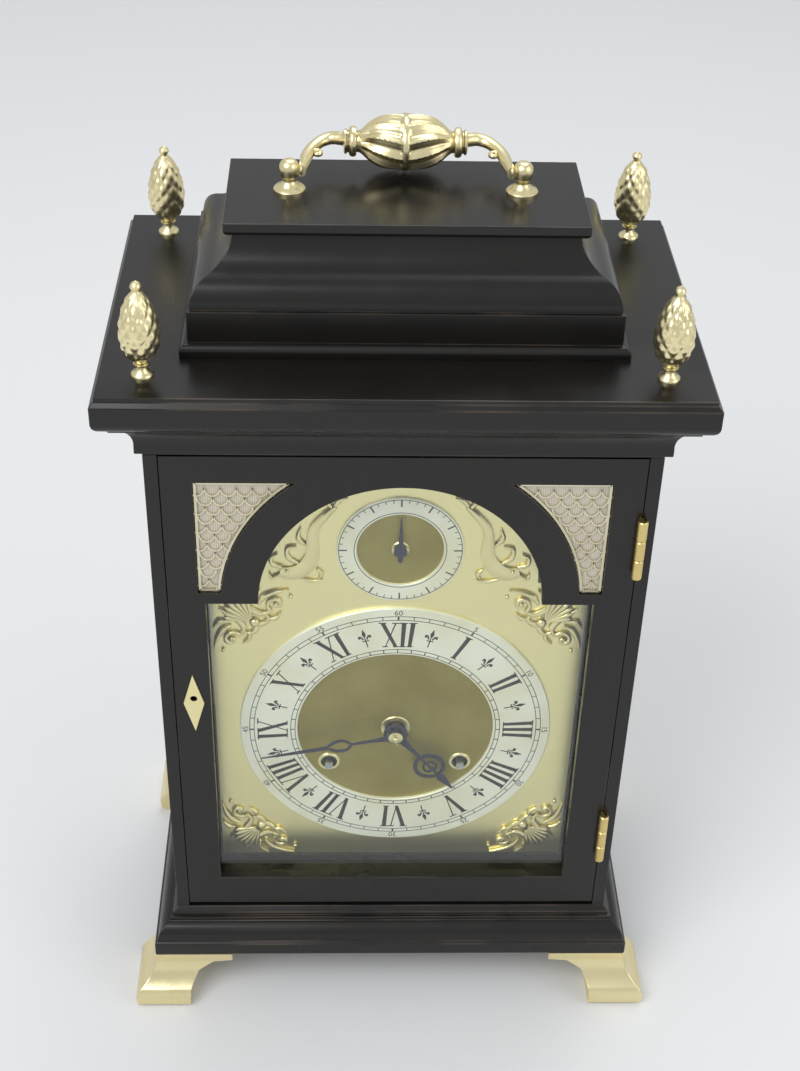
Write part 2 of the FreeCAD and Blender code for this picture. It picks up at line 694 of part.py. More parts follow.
def back_cock():
    """Bridge behind the back plate that carries the pallet arbor and the suspension."""
    z = PALLET[1]
    bridge = box((-12, 12), (30.5, 33), (z + 6.2, z + 9.8))
    arm = box((-4, 4), (30.5, 41), (z + 6.2, z + 9.8))
    jaws = box((-4, 4), (35.5, 39), (z + 1, z + 6.2)).cut(box((-2.7, 2.7), (37, 37.5), (z, z + 7)))
    return bridge.fuse([arm, jaws]).removeSplitter()


def cannon_pinion():
    shape = pinion(8, MINUTE_M, CENTRE, CENTRE_PHASE, (-38, -35))
    shape = shape.fuse(bar(2.4, "y", CENTRE, -58, -35))
    return shape.cut(bar(ARBOR_R, "y", CENTRE, -60, -30, PIVOT_FLATS)).removeSplitter()


def minute_wheel():
    """Wheel and pinion on a stud in the front plate."""
    shape = wheel(24, MINUTE_M, MINUTE, MINUTE_PHASE, (-37.3, -35.8), crossings=0)
    shape = shape.fuse(pinion(8, HOUR_M, MINUTE, MINUTE_PHASE, (-42, -37.3)))
    return shape.fuse(arbor(MINUTE, -42, FRONT_PLATE[0])).removeSplitter()


def hour_wheel():
    shape = wheel(32, HOUR_M, CENTRE, HOUR_PHASE, (-40.5, -39), crossings=0)
    shape = shape.fuse(bar(4.0, "y", CENTRE, -55.6, -39))
    return bored(shape, CENTRE, 2.4 + RUNNING).removeSplitter()


def pin_wheel():
    shape = wheel(48, PIN_M, PIN, PIN_PHASE, (16, 17.5), crossings=0)
    shape = shape.fuse(pinion(6, STRIKE_M, PIN, PIN_PHASE, (3, 10)))
    for i in range(8):
        x, z = polar(PIN, 16.3, 45 * i)
        shape = shape.fuse(box((x - 0.6, x + 0.6), (17.5, 20.5), (z - 0.6, z + 0.6)))
    return shape.fuse(arbor(PIN)).removeSplitter()


def warning_wheel():
    shape = wheel(36, WARN_M, WARNING, WARNING_PHASE, (-8, -6.5), crossings=0)
    shape = shape.fuse(pinion(6, PIN_M, WARNING, WARNING_PHASE, (14, 20)))
    return shape.fuse(arbor(WARNING)).removeSplitter()


def fly():
    """Two-bladed air brake on the last arbor of the strike train."""
    x, z = FLY
    shape = pinion(6, WARN_M, FLY, FLY_PHASE, (-10, -4)).fuse(arbor(FLY))
    blades = box((x - 11, x + 11), (-27, -12), (z - 0.4, z + 0.4))
    return shape.fuse([blades, bar(2, "y", FLY, -27, -12)]).removeSplitter()


def hammer():
    """Hammer arbor with its tail beside the pins and its head beside the bell's rim."""
    x, z = HAMMER
    arm = prism([(x - 1.2, z - 1), (x + 1.2, z - 1), (-50.2, 254), (-52.6, 254)], "y", -1, 1)
    head = box((-54, -44.5), (-3, 3), (253, 260))
    tip = polar(PIN, 17.9, 127.8)
    tail = prism([(x - 1.4, z - 1), (x + 1.6, z + 1), (tip[0] + 0.9, tip[1] + 0.9), tip], "y", 18, 20)
    hub = bar(2.4, "y", HAMMER, -3, 22)
    return arbor(HAMMER).fuse([hub, arm, head, tail]).removeSplitter()


def bell():
    """Hemispherical bell, mouth down, over the movement."""
    outer = [(42, 256), (40.5, 266), (34, 278), (22, 287), (5, 291)]
    inner = [(39.6, 255.9), (38.2, 265.4), (32, 276.4), (20.6, 284.6), (5, 288.6)]
    shape = turned(outer, "z", (0, 0), 0, 16).cut(turned(inner, "z", (0, 0), 0, 16))
    return bored(shape, (0, 0), 2.0, "z", 280, 300)


def bell_stand():
    """Steel post on the back plate with an arm and a stud through the crown of the bell."""
    upright = box((46, 54), (30.5, 33.5), (228, 300))
    arm = prism([(54, 33.5), (46, 33.5), (-3, 3), (3, -3)], "z", 297, 300)
    stud = bar(2.0, "z", (0, 0), 284.6, 300)
    nut = bar(4.0, "z", (0, 0), 284.6, 288.6)
    crown = bar(4.0, "z", (0, 0), 291, 297.5)
    return upright.fuse([arm, stud, nut, crown]).removeSplitter()


PARTS = {
    "base_moulding": base_moulding(),
    "floor_board": floor_board(),
    "feet": feet(),
    "side_panel_left": side_panel(-1),
    "side_panel_right": side_panel(1),
    "side_frets": side_frets(),
    "cornice": cornice(),
    "bell_top": bell_top(),
    "cap": cap(),
    "finials": finials(),
    "handle_posts": handle_posts(),
    "handle": handle(),
    "seat_cheeks": seat_cheeks(),
    "seat_board": seat_board(),
    "seat_bolts": seat_bolts(),
    "dial_mask": dial_mask(),
    "front_door": front_door(),
    "front_door_glass": front_door_glass(),
    "door_frets": door_frets(),
    "escutcheon": escutcheon(),
    "front_lock": lock_body(),
    "front_lock_bolt": lock_bolt(),
    "hinge_case_leaves": group(hinge_pair(FRONT_HINGE_Y, 1, False),
                               hinge_pair(BACK_HINGE_Y, -1, False)),
    "front_hinge_leaves": hinge_pair(FRONT_HINGE_Y, 1, True),
    "back_hinge_leaves": hinge_pair(BACK_HINGE_Y, -1, True),
    "back_door": back_door(),
    "back_door_glass": back_door_glass(),
    "back_catch": back_catch(),
    "dial_plate": dial_plate(),
    "chapter_ring": chapter_ring(),
    "corner_spandrels": corner_spandrels(),
    "arch_spandrels": arch_spandrels(),
    "strike_silent_ring": strike_silent_ring(),
    "strike_silent_hand": strike_silent_hand(),
    "hour_hand": hour_hand(),
    "minute_hand": minute_hand(),
    "front_plate": front_plate(),
    "back_plate": back_plate(),
    "pillars": pillars(),
    "going_barrel": barrel(GOING, 27, (-24.5, 3), (-27, -24.5), 72, GREAT_M, GOING_PHASE),
    "centre_wheel": centre_wheel(),
    "third_wheel": third_wheel(),
    "escape_wheel": escape_wheel(),
    "pallets": pallets(),
    "pendulum": pendulum(),
    "back_cock": back_cock(),
    "cannon_pinion": cannon_pinion(),
    "minute_wheel": minute_wheel(),
    "hour_wheel": hour_wheel(),
    "strike_barrel": barrel(STRIKE, 27, (-24, 5), (5, 7.5), 60, STRIKE_M, STRIKE_PHASE),
    "pin_wheel": pin_wheel(),
    "warning_wheel": warning_wheel(),
    "fly": fly(),
    "hammer": hammer(),
    "bell": bell(),
    "bell_stand": bell_stand(),
    "going_winding_arbor": winding_arbor(GOING),
    "strike_winding_arbor": winding_arbor(STRIKE),
    "going_click": click(GOING),
    "strike_click": click(STRIKE),
}

for name, shape in PARTS.items():
    shape.exportStep("parts/" + name + ".step")
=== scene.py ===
import logging
import math
from collections.abc import Callable, Iterable, Sequence
from dataclasses import dataclass
from enum import Enum
from itertools import pairwise, product

import bmesh
import bpy
from bmesh.types import BMEdge, BMVert
from mathutils import Matrix, Vector
from mathutils.geometry import interpolate_bezier


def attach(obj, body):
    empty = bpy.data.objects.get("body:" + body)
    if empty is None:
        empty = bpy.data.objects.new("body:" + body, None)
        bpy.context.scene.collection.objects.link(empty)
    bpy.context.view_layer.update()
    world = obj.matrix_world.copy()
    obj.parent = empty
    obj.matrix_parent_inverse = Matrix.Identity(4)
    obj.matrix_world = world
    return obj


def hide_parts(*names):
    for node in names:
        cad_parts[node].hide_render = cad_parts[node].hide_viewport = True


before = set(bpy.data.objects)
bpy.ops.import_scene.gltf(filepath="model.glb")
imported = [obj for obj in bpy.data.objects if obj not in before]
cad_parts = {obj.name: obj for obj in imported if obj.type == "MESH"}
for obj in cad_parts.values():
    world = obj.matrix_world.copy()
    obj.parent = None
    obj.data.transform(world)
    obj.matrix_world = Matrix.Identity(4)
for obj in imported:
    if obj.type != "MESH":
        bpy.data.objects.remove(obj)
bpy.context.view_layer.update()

MM = 0.001
LOG = logging.getLogger("bracket_clock")

Point = tuple[float, float]
Place = tuple[float, float, float]
Path = Sequence[Sequence[float]]

DIAL_CENTRE = (0.0, 166.0)     # axis of the hands (x, z)
ARCH_CENTRE = (0.0, 277.0)     # axis of the strike and silent hand
BARREL_X = 33.0                # going barrel; the strike barrel stands at -33
BARREL_Z = 143.0
BOB_Z = 77.1                   # middle of the pendulum's bob


class Slot(Enum):
    """Material slots of the record."""

    EBONISED = "ebonised_wood"
    OAK = "oak"
    GLASS = "glass"
    STEEL = "steel"
    BLUED = "blued_steel"
    SILVERED = "silvered_brass"
    GILT = "lacquered_brass"
    BRASS = "brass"


class Axis(Enum):
    """Main directions: x to the viewer's right, y from the dial to the back, z up."""

    X = (1.0, 0.0, 0.0)
    Y = (0.0, 1.0, 0.0)
    Z = (0.0, 0.0, 1.0)

    def scales(self, along: float, across: float) -> list[float]:
        """Returns one scale along this axis and another across it."""
        return [along if share else across for share in self.value]


# ------------------------------------------------------------------------------- finishes
def linear(code: str) -> tuple[float, float, float, float]:
    """Turns an sRGB hex colour into linear RGBA.

    Args:
        code: the colour as "#RRGGBB".

    Returns:
        The four channels that a shader socket takes.
    """
    shares = [int(code[i:i + 2], 16) / 255 for i in (1, 3, 5)]
    red, green, blue = (
        s / 12.92 if s <= 0.04045 else ((s + 0.055) / 1.055) ** 2.4 for s in shares)
    return (red, green, blue, 1.0)


def add(tree: bpy.types.NodeTree, kind: str, values: dict | None = None,
        links: dict | None = None, **settings: object) -> bpy.types.Node:
    """Adds one shader node with its settings and links.

    Args:
        tree: the node tree of a material or of the world.
        kind: the node's type, without its leading ShaderNode.
        values: plain values by input name or index.
        links: output sockets to connect, by input name or index.
        settings: the node's own properties.

    Returns:
        The new node.
    """
    made = tree.nodes.new("ShaderNode" + kind)
    for name, value in settings.items():
        setattr(made, name, value)
    for socket, value in (values or {}).items():
        made.inputs[socket].default_value = value
    for socket, source in (links or {}).items():
        tree.links.new(source, made.inputs[socket])
    return made


@dataclass(frozen=True)
class Finish:
    """The plain values that every finish sets on its shader. The classes below add a pattern."""

    name: str
    slot: Slot | None
    base: str
    roughness: float
    metallic: float = 0.0

    def material(self) -> bpy.types.Material:
        """Makes the material of this finish when it is first asked for.

        Returns:
            The material.
        """
        made = bpy.data.materials.get(self.name)
        if made is not None:
            return made
        made = bpy.data.materials.new(self.name)
        made.use_nodes = True
        tree = made.node_tree
        tree.nodes.clear()
        shader = add(tree, "BsdfPrincipled", {
            "Base Color": linear(self.base), "Roughness": self.roughness,
            "Metallic": self.metallic})
        add(tree, "OutputMaterial", links={"Surface": shader.outputs[0]})
        self.pattern(tree, shader)
        return made

    def pattern(self, tree: bpy.types.NodeTree, shader: bpy.types.Node) -> None:
        """Adds what varies over the surface.

        Args:
            tree: the material's node tree.
            shader: its Principled node.
        """
        raise NotImplementedError


@dataclass(frozen=True)
class EbonisedPearwood(Finish):
    """Pearwood stained black and French-polished: a deep gloss film over fine closed grain,
    a trace of brown under it, and arrises rubbed a little lighter."""

    grain: Axis = Axis.Z
    worn: str = "#4A4036"
    brown: str = "#1B1611"

    def pattern(self, tree: bpy.types.NodeTree, shader: bpy.types.Node) -> None:
        """Adds grain lines, cloudy polish and rubbed arrises.

        Args:
            tree: the material's node tree.
            shader: its Principled node.
        """
        place = add(tree, "TexCoord").outputs["Object"]
        # Grain lines 1.2 mm apart and about 40 mm long; the real ones are half as wide.
        scale = self.grain.scales(25.0, 830.0)
        along = add(tree, "Mapping", {"Scale": scale}, {"Vector": place}).outputs[0]
        lines = add(tree, "TexNoise", {"Scale": 1.0, "Detail": 4.0, "Roughness": 0.65},
                    {"Vector": along}).outputs[0]
        # Clouds in the polish, 45 mm across.
        cloud = add(tree, "TexNoise", {"Scale": 22.0, "Detail": 3.0}, {"Vector": place}).outputs[0]
        share = add(tree, "MapRange", {"From Min": 0.42, "From Max": 0.72, "To Max": 0.75},
                    {"Value": lines}).outputs[0]
        wood = add(tree, "Mix", {6: linear(self.base), 7: linear(self.brown)}, {0: share},
                   data_type="RGBA").outputs[2]
        wear = add(tree, "Attribute", attribute_name="arris").outputs["Fac"]
        rubbed = add(tree, "MapRange", {"From Min": 0.45, "From Max": 0.68, "To Max": 0.8},
                     {"Value": cloud}).outputs[0]
        rubbed = add(tree, "Math", {}, {0: wear, 1: rubbed}, operation="MULTIPLY").outputs[0]
        wood = add(tree, "Mix", {7: linear(self.worn)}, {0: rubbed, 6: wood},
                   data_type="RGBA").outputs[2]
        gloss = add(tree, "MapRange", {"From Min": 0.3, "From Max": 0.7,
                                       "To Min": self.roughness - 0.05,
                                       "To Max": self.roughness + 0.09},
                    {"Value": cloud}).outputs[0]
        relief = add(tree, "Bump", {"Strength": 0.12, "Distance": 0.00006},
                     {"Height": lines}).outputs[0]
        shader.inputs["IOR"].default_value = 1.44      # the wax over the polish
        tree.links.new(wood, shader.inputs["Base Color"])
        tree.links.new(gloss, shader.inputs["Roughness"])
        tree.links.new(relief, shader.inputs["Normal"])


@dataclass(frozen=True)
class SawnOak(Finish):
    """Quarter-sawn oak left from the plane: open pores, straight brown grain, no polish."""

    dark: str = "#5E4326"

    def pattern(self, tree: bpy.types.NodeTree, shader: bpy.types.Node) -> None:
        """Adds growth lines and open pores along the boards.

        Args:
            tree: the material's node tree.
            shader: its Principled node.
        """
        place = add(tree, "TexCoord").outputs["Object"]
        # Growth lines 3 mm apart along x, with pores 0.8 mm wide and 15 mm long.
        wide = add(tree, "Mapping", {"Scale": (12.0, 330.0, 330.0)}, {"Vector": place}).outputs[0]
        fine = add(tree, "Mapping", {"Scale": (66.0, 1250.0, 1250.0)},
                   {"Vector": place}).outputs[0]
        growth = add(tree, "TexNoise", {"Scale": 1.0, "Detail": 5.0}, {"Vector": wide}).outputs[0]
        pores = add(tree, "TexNoise", {"Scale": 1.0, "Detail": 2.0}, {"Vector": fine}).outputs[0]
        share = add(tree, "MapRange", {"From Min": 0.35, "From Max": 0.7}, {"Value": growth})
        wood = add(tree, "Mix", {6: linear(self.base), 7: linear(self.dark)},
                   {0: share.outputs[0]}, data_type="RGBA").outputs[2]
        relief = add(tree, "Bump", {"Strength": 0.5, "Distance": 0.0001},
                     {"Height": pores}).outputs[0]
        tree.links.new(wood, shader.inputs["Base Color"])
        tree.links.new(relief, shader.inputs["Normal"])


@dataclass(frozen=True)
class CastGilt(Finish):
    """Brass cast in sand, chased and lacquered pale gold: painted shade darkens its hollows to
    olive where ambient occlusion finds them, standing also for tarnish, and the fine skin of the
    casting is left in the metal."""

    hollow: str = "#8A7F4E"
    grit: float = 800.0
    depth: float = 0.00007

    def pattern(self, tree: bpy.types.NodeTree, shader: bpy.types.Node) -> None:
        """Adds painted shade in the hollows, uneven lacquer and casting skin.

        Args:
            tree: the material's node tree.
            shader: its Principled node.
        """
        place = add(tree, "TexCoord").outputs["Object"]
        # Casting skin of 1.2 mm grains, finer where chased; lacquer uneven over 25 mm.
        skin = add(tree, "TexNoise", {"Scale": self.grit, "Detail": 3.0},
                   {"Vector": place}).outputs[0]
        lacquer = add(tree, "TexNoise", {"Scale": 40.0, "Detail": 2.0},
                      {"Vector": place}).outputs[0]
        # Painted shade: ambient occlusion darkens the hollows to olive, standing also for tarnish
        # there.
        shade = add(tree, "AmbientOcclusion", {"Distance": 0.003}, samples=6, only_local=True)
        unshaded_share = add(tree, "MapRange", {"From Min": 0.35, "From Max": 0.85},
                         {"Value": shade.outputs["AO"]}).outputs[0]
        metal = add(tree, "Mix", {6: linear(self.hollow), 7: linear(self.base)},
                    {0: unshaded_share}, data_type="RGBA").outputs[2]
        gloss = add(tree, "MapRange", {"From Min": 0.3, "From Max": 0.7,
                                       "To Min": self.roughness - 0.07,
                                       "To Max": self.roughness + 0.1},
                    {"Value": lacquer}).outputs[0]
        relief = add(tree, "Bump", {"Strength": 0.35, "Distance": self.depth},
                     {"Height": skin}).outputs[0]
        tree.links.new(metal, shader.inputs["Base Color"])
        tree.links.new(gloss, shader.inputs["Roughness"])
        tree.links.new(relief, shader.inputs["Normal"])


@dataclass(frozen=True)
class BrushedMetal(Finish):
    """Metal stoned and brushed one way: fine straight scratches that blur what it mirrors."""

    along: Axis = Axis.X
    second: str = "#8C7A3C"

    def pattern(self, tree: bpy.types.NodeTree, shader: bpy.types.Node) -> None:
        """Adds scratches and a slow change of tone.

        Args:
            tree: the material's node tree.
            shader: its Principled node.
        """
        place = add(tree, "TexCoord").outputs["Object"]
        # Scratches 0.3 mm apart and 30 mm long, drawn three times as wide as real ones.
        scale = self.along.scales(33.0, 3300.0)
        drawn = add(tree, "Mapping", {"Scale": scale}, {"Vector": place}).outputs[0]
        scratches = add(tree, "TexNoise", {"Scale": 1.0, "Detail": 3.0},
                        {"Vector": drawn}).outputs[0]
        tone = add(tree, "TexNoise", {"Scale": 30.0, "Detail": 4.0}, {"Vector": place}).outputs[0]
        share = add(tree, "MapRange", {"From Min": 0.45, "From Max": 0.8, "To Max": 0.7},
                    {"Value": tone}).outputs[0]
        metal = add(tree, "Mix", {6: linear(self.base), 7: linear(self.second)}, {0: share},
                    data_type="RGBA").outputs[2]
        gloss = add(tree, "MapRange", {"From Min": 0.3, "From Max": 0.7,
                                       "To Min": self.roughness - 0.06,
                                       "To Max": self.roughness + 0.1},
                    {"Value": scratches}).outputs[0]
        relief = add(tree, "Bump", {"Strength": 0.15, "Distance": 0.00003},
                     {"Height": scratches}).outputs[0]
        tree.links.new(metal, shader.inputs["Base Color"])
        tree.links.new(gloss, shader.inputs["Roughness"])
        tree.links.new(relief, shader.inputs["Normal"])


@dataclass(frozen=True)
class TurnedMetal(Finish):
    """Brass turned on a lathe, on a steel arbor that ends at a radius: fine rings round the
    axle, which pull highlights into a fan."""

    centre: Place = (0.0, 0.0, 0.0)
    axle: Axis = Axis.Y
    steel_radius: float = 0.0
    steel: str = "#A9ABAE"

    def pattern(self, tree: bpy.types.NodeTree, shader: bpy.types.Node) -> None:
        """Adds steel inside the given radius and a spun finish outside it.

        Args:
            tree: the material's node tree.
            shader: its Principled node.
        """
        place = add(tree, "TexCoord").outputs["Object"]
        across = self.axle.scales(0.0, 1.0)
        flat = add(tree, "VectorMath", {1: across}, {0: place}, operation="MULTIPLY").outputs[0]
        hub = [value * share * MM for value, share in zip(self.centre, across)]
        radius = add(tree, "VectorMath", {1: hub}, {0: flat}, operation="DISTANCE").outputs[1]
        edge, blur = self.steel_radius * MM, 0.00005
        share = add(tree, "MapRange", {"From Min": edge - blur, "From Max": edge + blur},
                    {"Value": radius}).outputs[0]
        metal = add(tree, "Mix", {6: linear(self.steel), 7: linear(self.base)}, {0: share},
                    data_type="RGBA").outputs[2]
        # Turning marks 0.7 mm apart.
        rings = add(tree, "Math", {1: 1400.0}, {0: radius}, operation="MULTIPLY").outputs[0]
        marks = add(tree, "TexNoise", {"Scale": 1.0, "Detail": 2.0}, {"W": rings},
                    noise_dimensions="1D").outputs[0]
        gloss = add(tree, "MapRange", {"From Min": 0.3, "From Max": 0.7,
                                       "To Min": self.roughness - 0.03,
                                       "To Max": self.roughness + 0.06}, {"Value": marks})
        tree.links.new(metal, shader.inputs["Base Color"])
        tree.links.new(gloss.outputs[0], shader.inputs["Roughness"])


@dataclass(frozen=True)
class SilveredRing(Finish):
    """Brass rubbed with silvering paste and lacquered: a pale, warm white metal with the
    circular grain of the pumice stone and some yellowing."""

    centre: Point = DIAL_CENTRE
    yellowed: str = "#E4DDBB"

    def pattern(self, tree: bpy.types.NodeTree, shader: bpy.types.Node) -> None:
        """Adds circular grain and yellowed patches.

        Args:
            tree: the material's node tree.
            shader: its Principled node.
        """
        place = add(tree, "TexCoord").outputs["Object"]
        local = add(tree, "VectorMath", {1: (self.centre[0] * MM, 0.0, self.centre[1] * MM)},
                    {0: place}, operation="SUBTRACT").outputs[0]
        parts = add(tree, "SeparateXYZ", {}, {0: local}).outputs
        angle = add(tree, "Math", {}, {0: parts[2], 1: parts[0]}, operation="ARCTAN2").outputs[0]
        flat = add(tree, "CombineXYZ", {}, {0: parts[0], 1: parts[2]}).outputs[0]
        radius = add(tree, "VectorMath", {}, {0: flat}, operation="LENGTH").outputs[1]
        # Grain lines 0.35 mm apart, each a twentieth of the ring long.
        polar = add(tree, "CombineXYZ", {}, {0: radius, 1: angle}).outputs[0]
        drawn = add(tree, "Mapping", {"Scale": (2800.0, 3.0, 1.0)}, {"Vector": polar}).outputs[0]
        grain = add(tree, "TexNoise", {"Scale": 1.0, "Detail": 3.0}, {"Vector": drawn}).outputs[0]
        patch = add(tree, "TexNoise", {"Scale": 28.0, "Detail": 3.0}, {"Vector": place}).outputs[0]
        share = add(tree, "MapRange", {"From Min": 0.42, "From Max": 0.68, "To Max": 0.8},
                    {"Value": patch}).outputs[0]
        metal = add(tree, "Mix", {6: linear(self.base), 7: linear(self.yellowed)}, {0: share},
                    data_type="RGBA").outputs[2]
        gloss = add(tree, "MapRange", {"From Min": 0.3, "From Max": 0.7,
                                       "To Min": self.roughness - 0.07,
                                       "To Max": self.roughness + 0.1}, {"Value": grain})
        relief = add(tree, "Bump", {"Strength": 0.2, "Distance": 0.00003},
                     {"Height": grain}).outputs[0]
        tree.links.new(metal, shader.inputs["Base Color"])
        tree.links.new(gloss.outputs[0], shader.inputs["Roughness"])
        tree.links.new(relief, shader.inputs["Normal"])


@dataclass(frozen=True)
class DialBrass(Finish):
    """Dial plate: matted with a punch inside the chapter ring, where it looks olive and soft,
    and polished and lacquered outside it."""

    matted: str = "#9A8D40"
    matted_roughness: float = 0.55
    centre: Point = DIAL_CENTRE
    matted_radius: float = 48.6
    arch_centre: Point = ARCH_CENTRE
    arch_radius: float = 20.0

    def pattern(self, tree: bpy.types.NodeTree, shader: bpy.types.Node) -> None:
        """Adds punched matting in the two centres.

        Args:
            tree: the material's node tree.
            shader: its Principled node.
        """
        place = add(tree, "TexCoord").outputs["Object"]
        flat = add(tree, "VectorMath", {1: (1.0, 0.0, 1.0)}, {0: place},
                   operation="MULTIPLY").outputs[0]
        masks = []
        for centre, size in ((self.centre, self.matted_radius),
                             (self.arch_centre, self.arch_radius)):
            hub = (centre[0] * MM, 0.0, centre[1] * MM)
            gap = add(tree, "VectorMath", {1: hub}, {0: flat}, operation="DISTANCE").outputs[1]
            masks.append(add(tree, "Math", {1: size * MM}, {0: gap},
                             operation="LESS_THAN").outputs[0])
        inside = add(tree, "Math", {}, {0: masks[0], 1: masks[1]}, operation="MAXIMUM").outputs[0]
        # Punch marks 0.7 mm apart.
        punched = add(tree, "TexVoronoi", {"Scale": 1400.0}, {"Vector": place}).outputs[0]
        tone = add(tree, "TexNoise", {"Scale": 35.0, "Detail": 4.0}, {"Vector": place}).outputs[0]
        share = add(tree, "MapRange", {"From Min": 0.3, "From Max": 0.8, "To Min": 0.8},
                    {"Value": tone}).outputs[0]
        share = add(tree, "Math", {}, {0: share, 1: inside}, operation="MULTIPLY").outputs[0]
        metal = add(tree, "Mix", {6: linear(self.base), 7: linear(self.matted)}, {0: share},
                    data_type="RGBA").outputs[2]
        gloss = add(tree, "MapRange", {"To Min": self.roughness, "To Max": self.matted_roughness},
                    {"Value": inside}).outputs[0]
        height = add(tree, "Math", {}, {0: punched, 1: inside}, operation="MULTIPLY").outputs[0]
        relief = add(tree, "Bump", {"Strength": 0.8, "Distance": 0.0002},
                     {"Height": height}).outputs[0]
        tree.links.new(metal, shader.inputs["Base Color"])
        tree.links.new(gloss, shader.inputs["Roughness"])
        tree.links.new(relief, shader.inputs["Normal"])


@dataclass(frozen=True)
class Mottled(Finish):
    """A plain surface whose tone drifts a little, with a fine tooth: wax or blued steel."""

    second: str = "#000000"
    size: float = 60.0
    grit: float = 1500.0
    depth: float = 0.00003

    def pattern(self, tree: bpy.types.NodeTree, shader: bpy.types.Node) -> None:
        """Adds a slow change of tone and a fine tooth.

        Args:
            tree: the material's node tree.
            shader: its Principled node.
        """
        place = add(tree, "TexCoord").outputs["Object"]
        tone = add(tree, "TexNoise", {"Scale": self.size, "Detail": 3.0},
                   {"Vector": place}).outputs[0]
        tooth = add(tree, "TexNoise", {"Scale": self.grit, "Detail": 2.0},
                    {"Vector": place}).outputs[0]
        share = add(tree, "MapRange", {"From Min": 0.35, "From Max": 0.7},
                    {"Value": tone}).outputs[0]
        colour = add(tree, "Mix", {6: linear(self.base), 7: linear(self.second)}, {0: share},
                     data_type="RGBA").outputs[2]
        relief = add(tree, "Bump", {"Strength": 0.3, "Distance": self.depth},
                     {"Height": tooth}).outputs[0]
        tree.links.new(colour, shader.inputs["Base Color"])
        tree.links.new(relief, shader.inputs["Normal"])


@dataclass(frozen=True)
class WovenSilk(Finish):
    """Plain-woven silk glued behind a fret: fine crossed threads with a soft sheen."""

    shade: str = "#B3AA98"

    def pattern(self, tree: bpy.types.NodeTree, shader: bpy.types.Node) -> None:
        """Adds crossed threads.

        Args:
            tree: the material's node tree.
            shader: its Principled node.
        """
        place = add(tree, "TexCoord").outputs["Object"]
        # Threads 0.5 mm apart, twice as coarse as real silk, so that they show.
        warp = add(tree, "TexWave", {"Scale": 640.0, "Distortion": 0.3}, {"Vector": place},
                   bands_direction="Z").outputs[1]
        side = add(tree, "VectorMath", {1: (1.0, 1.0, 0.0)}, {0: place},
                   operation="MULTIPLY").outputs[0]
        weft = add(tree, "TexWave", {"Scale": 640.0, "Distortion": 0.3}, {"Vector": side},
                   bands_direction="DIAGONAL").outputs[1]
        weave = add(tree, "Math", {}, {0: warp, 1: weft}, operation="MULTIPLY").outputs[0]
        colour = add(tree, "Mix", {6: linear(self.shade), 7: linear(self.base)}, {0: weave},
                     data_type="RGBA").outputs[2]
        relief = add(tree, "Bump", {"Strength": 0.4, "Distance": 0.0001},
                     {"Height": weave}).outputs[0]
        tree.links.new(colour, shader.inputs["Base Color"])
        tree.links.new(relief, shader.inputs["Normal"])
        shader.inputs["Sheen Weight"].default_value = 0.4


@dataclass(frozen=True)
class CrownGlass(Finish):
    """Thin old window glass: clear, faintly green, with slow waves. Lamps shine through it."""

    def pattern(self, tree: bpy.types.NodeTree, shader: bpy.types.Node) -> None:
        """Adds waves in the pane and lets the light of lamps pass.

        Args:
            tree: the material's node tree.
            shader: its Principled node.
        """
        place = add(tree, "TexCoord").outputs["Object"]
        # Waves 35 mm across.
        wave = add(tree, "TexNoise", {"Scale": 28.0, "Detail": 1.0}, {"Vector": place}).outputs[0]
        relief = add(tree, "Bump", {"Strength": 0.05, "Distance": 0.0004},
                     {"Height": wave}).outputs[0]
        tree.links.new(relief, shader.inputs["Normal"])
        shader.inputs["Transmission Weight"].default_value = 1.0
        shader.inputs["IOR"].default_value = 1.5
        clear = add(tree, "BsdfTransparent", {"Color": linear("#F4F8F5")})
        ray = add(tree, "LightPath")
        lit = add(tree, "MixShader", {}, {0: ray.outputs["Is Shadow Ray"],
                                          1: shader.outputs[0], 2: clear.outputs[0]})
        output = next(n for n in tree.nodes if n.type == "OUTPUT_MATERIAL")
        tree.links.new(lit.outputs[0], output.inputs["Surface"])


@dataclass(frozen=True)
class StudioPaper(Finish):
    """Seamless pale paper on the studio floor, matt and even."""

    second: str = "#DADBDC"

    def pattern(self, tree: bpy.types.NodeTree, shader: bpy.types.Node) -> None:
        """Adds a barely visible change of tone over the sheet.

        Args:
            tree: the material's node tree.
            shader: its Principled node.
        """
        place = add(tree, "TexCoord").outputs["Object"]
        tone = add(tree, "TexNoise", {"Scale": 1.2, "Detail": 2.0}, {"Vector": place}).outputs[0]
        colour = add(tree, "Mix", {6: linear(self.base), 7: linear(self.second)}, {0: tone},
                     data_type="RGBA").outputs[2]
        tree.links.new(colour, shader.inputs["Base Color"])


EBONY_UPRIGHT = EbonisedPearwood("ebonised_pearwood_upright", Slot.EBONISED, "#141312", 0.24)
EBONY_ACROSS = EbonisedPearwood("ebonised_pearwood_across", Slot.EBONISED, "#141312", 0.24,
                                grain=Axis.X)
OAK = SawnOak("sawn_oak", Slot.OAK, "#9A7446", 0.7)
GILT = CastGilt("cast_brass_lacquered", Slot.GILT, "#EEE1B2", 0.3, 1.0)
GILT_FINE = CastGilt("chased_brass_lacquered", Slot.GILT, "#F0E4AE", 0.34, 1.0, grit=1600.0,
                     depth=0.00005)
FRET_BRASS = BrushedMetal("sheet_brass_lacquered", Slot.GILT, "#E4DDC0", 0.4, 1.0,
                          second="#B9AE86")
PLATE_BRASS = BrushedMetal("rolled_brass_brushed", Slot.BRASS, "#DCC585", 0.34, 1.0,
                           along=Axis.Z, second="#C9AF6C")
DRUM_BRASS = BrushedMetal("drawn_brass_brushed", Slot.BRASS, "#D8C07C", 0.3, 1.0,
                          along=Axis.Y, second="#BFA560")
STEEL = BrushedMetal("polished_steel", Slot.STEEL, "#B4B6B8", 0.3, 1.0, along=Axis.Z,
                     second="#8C8F92")
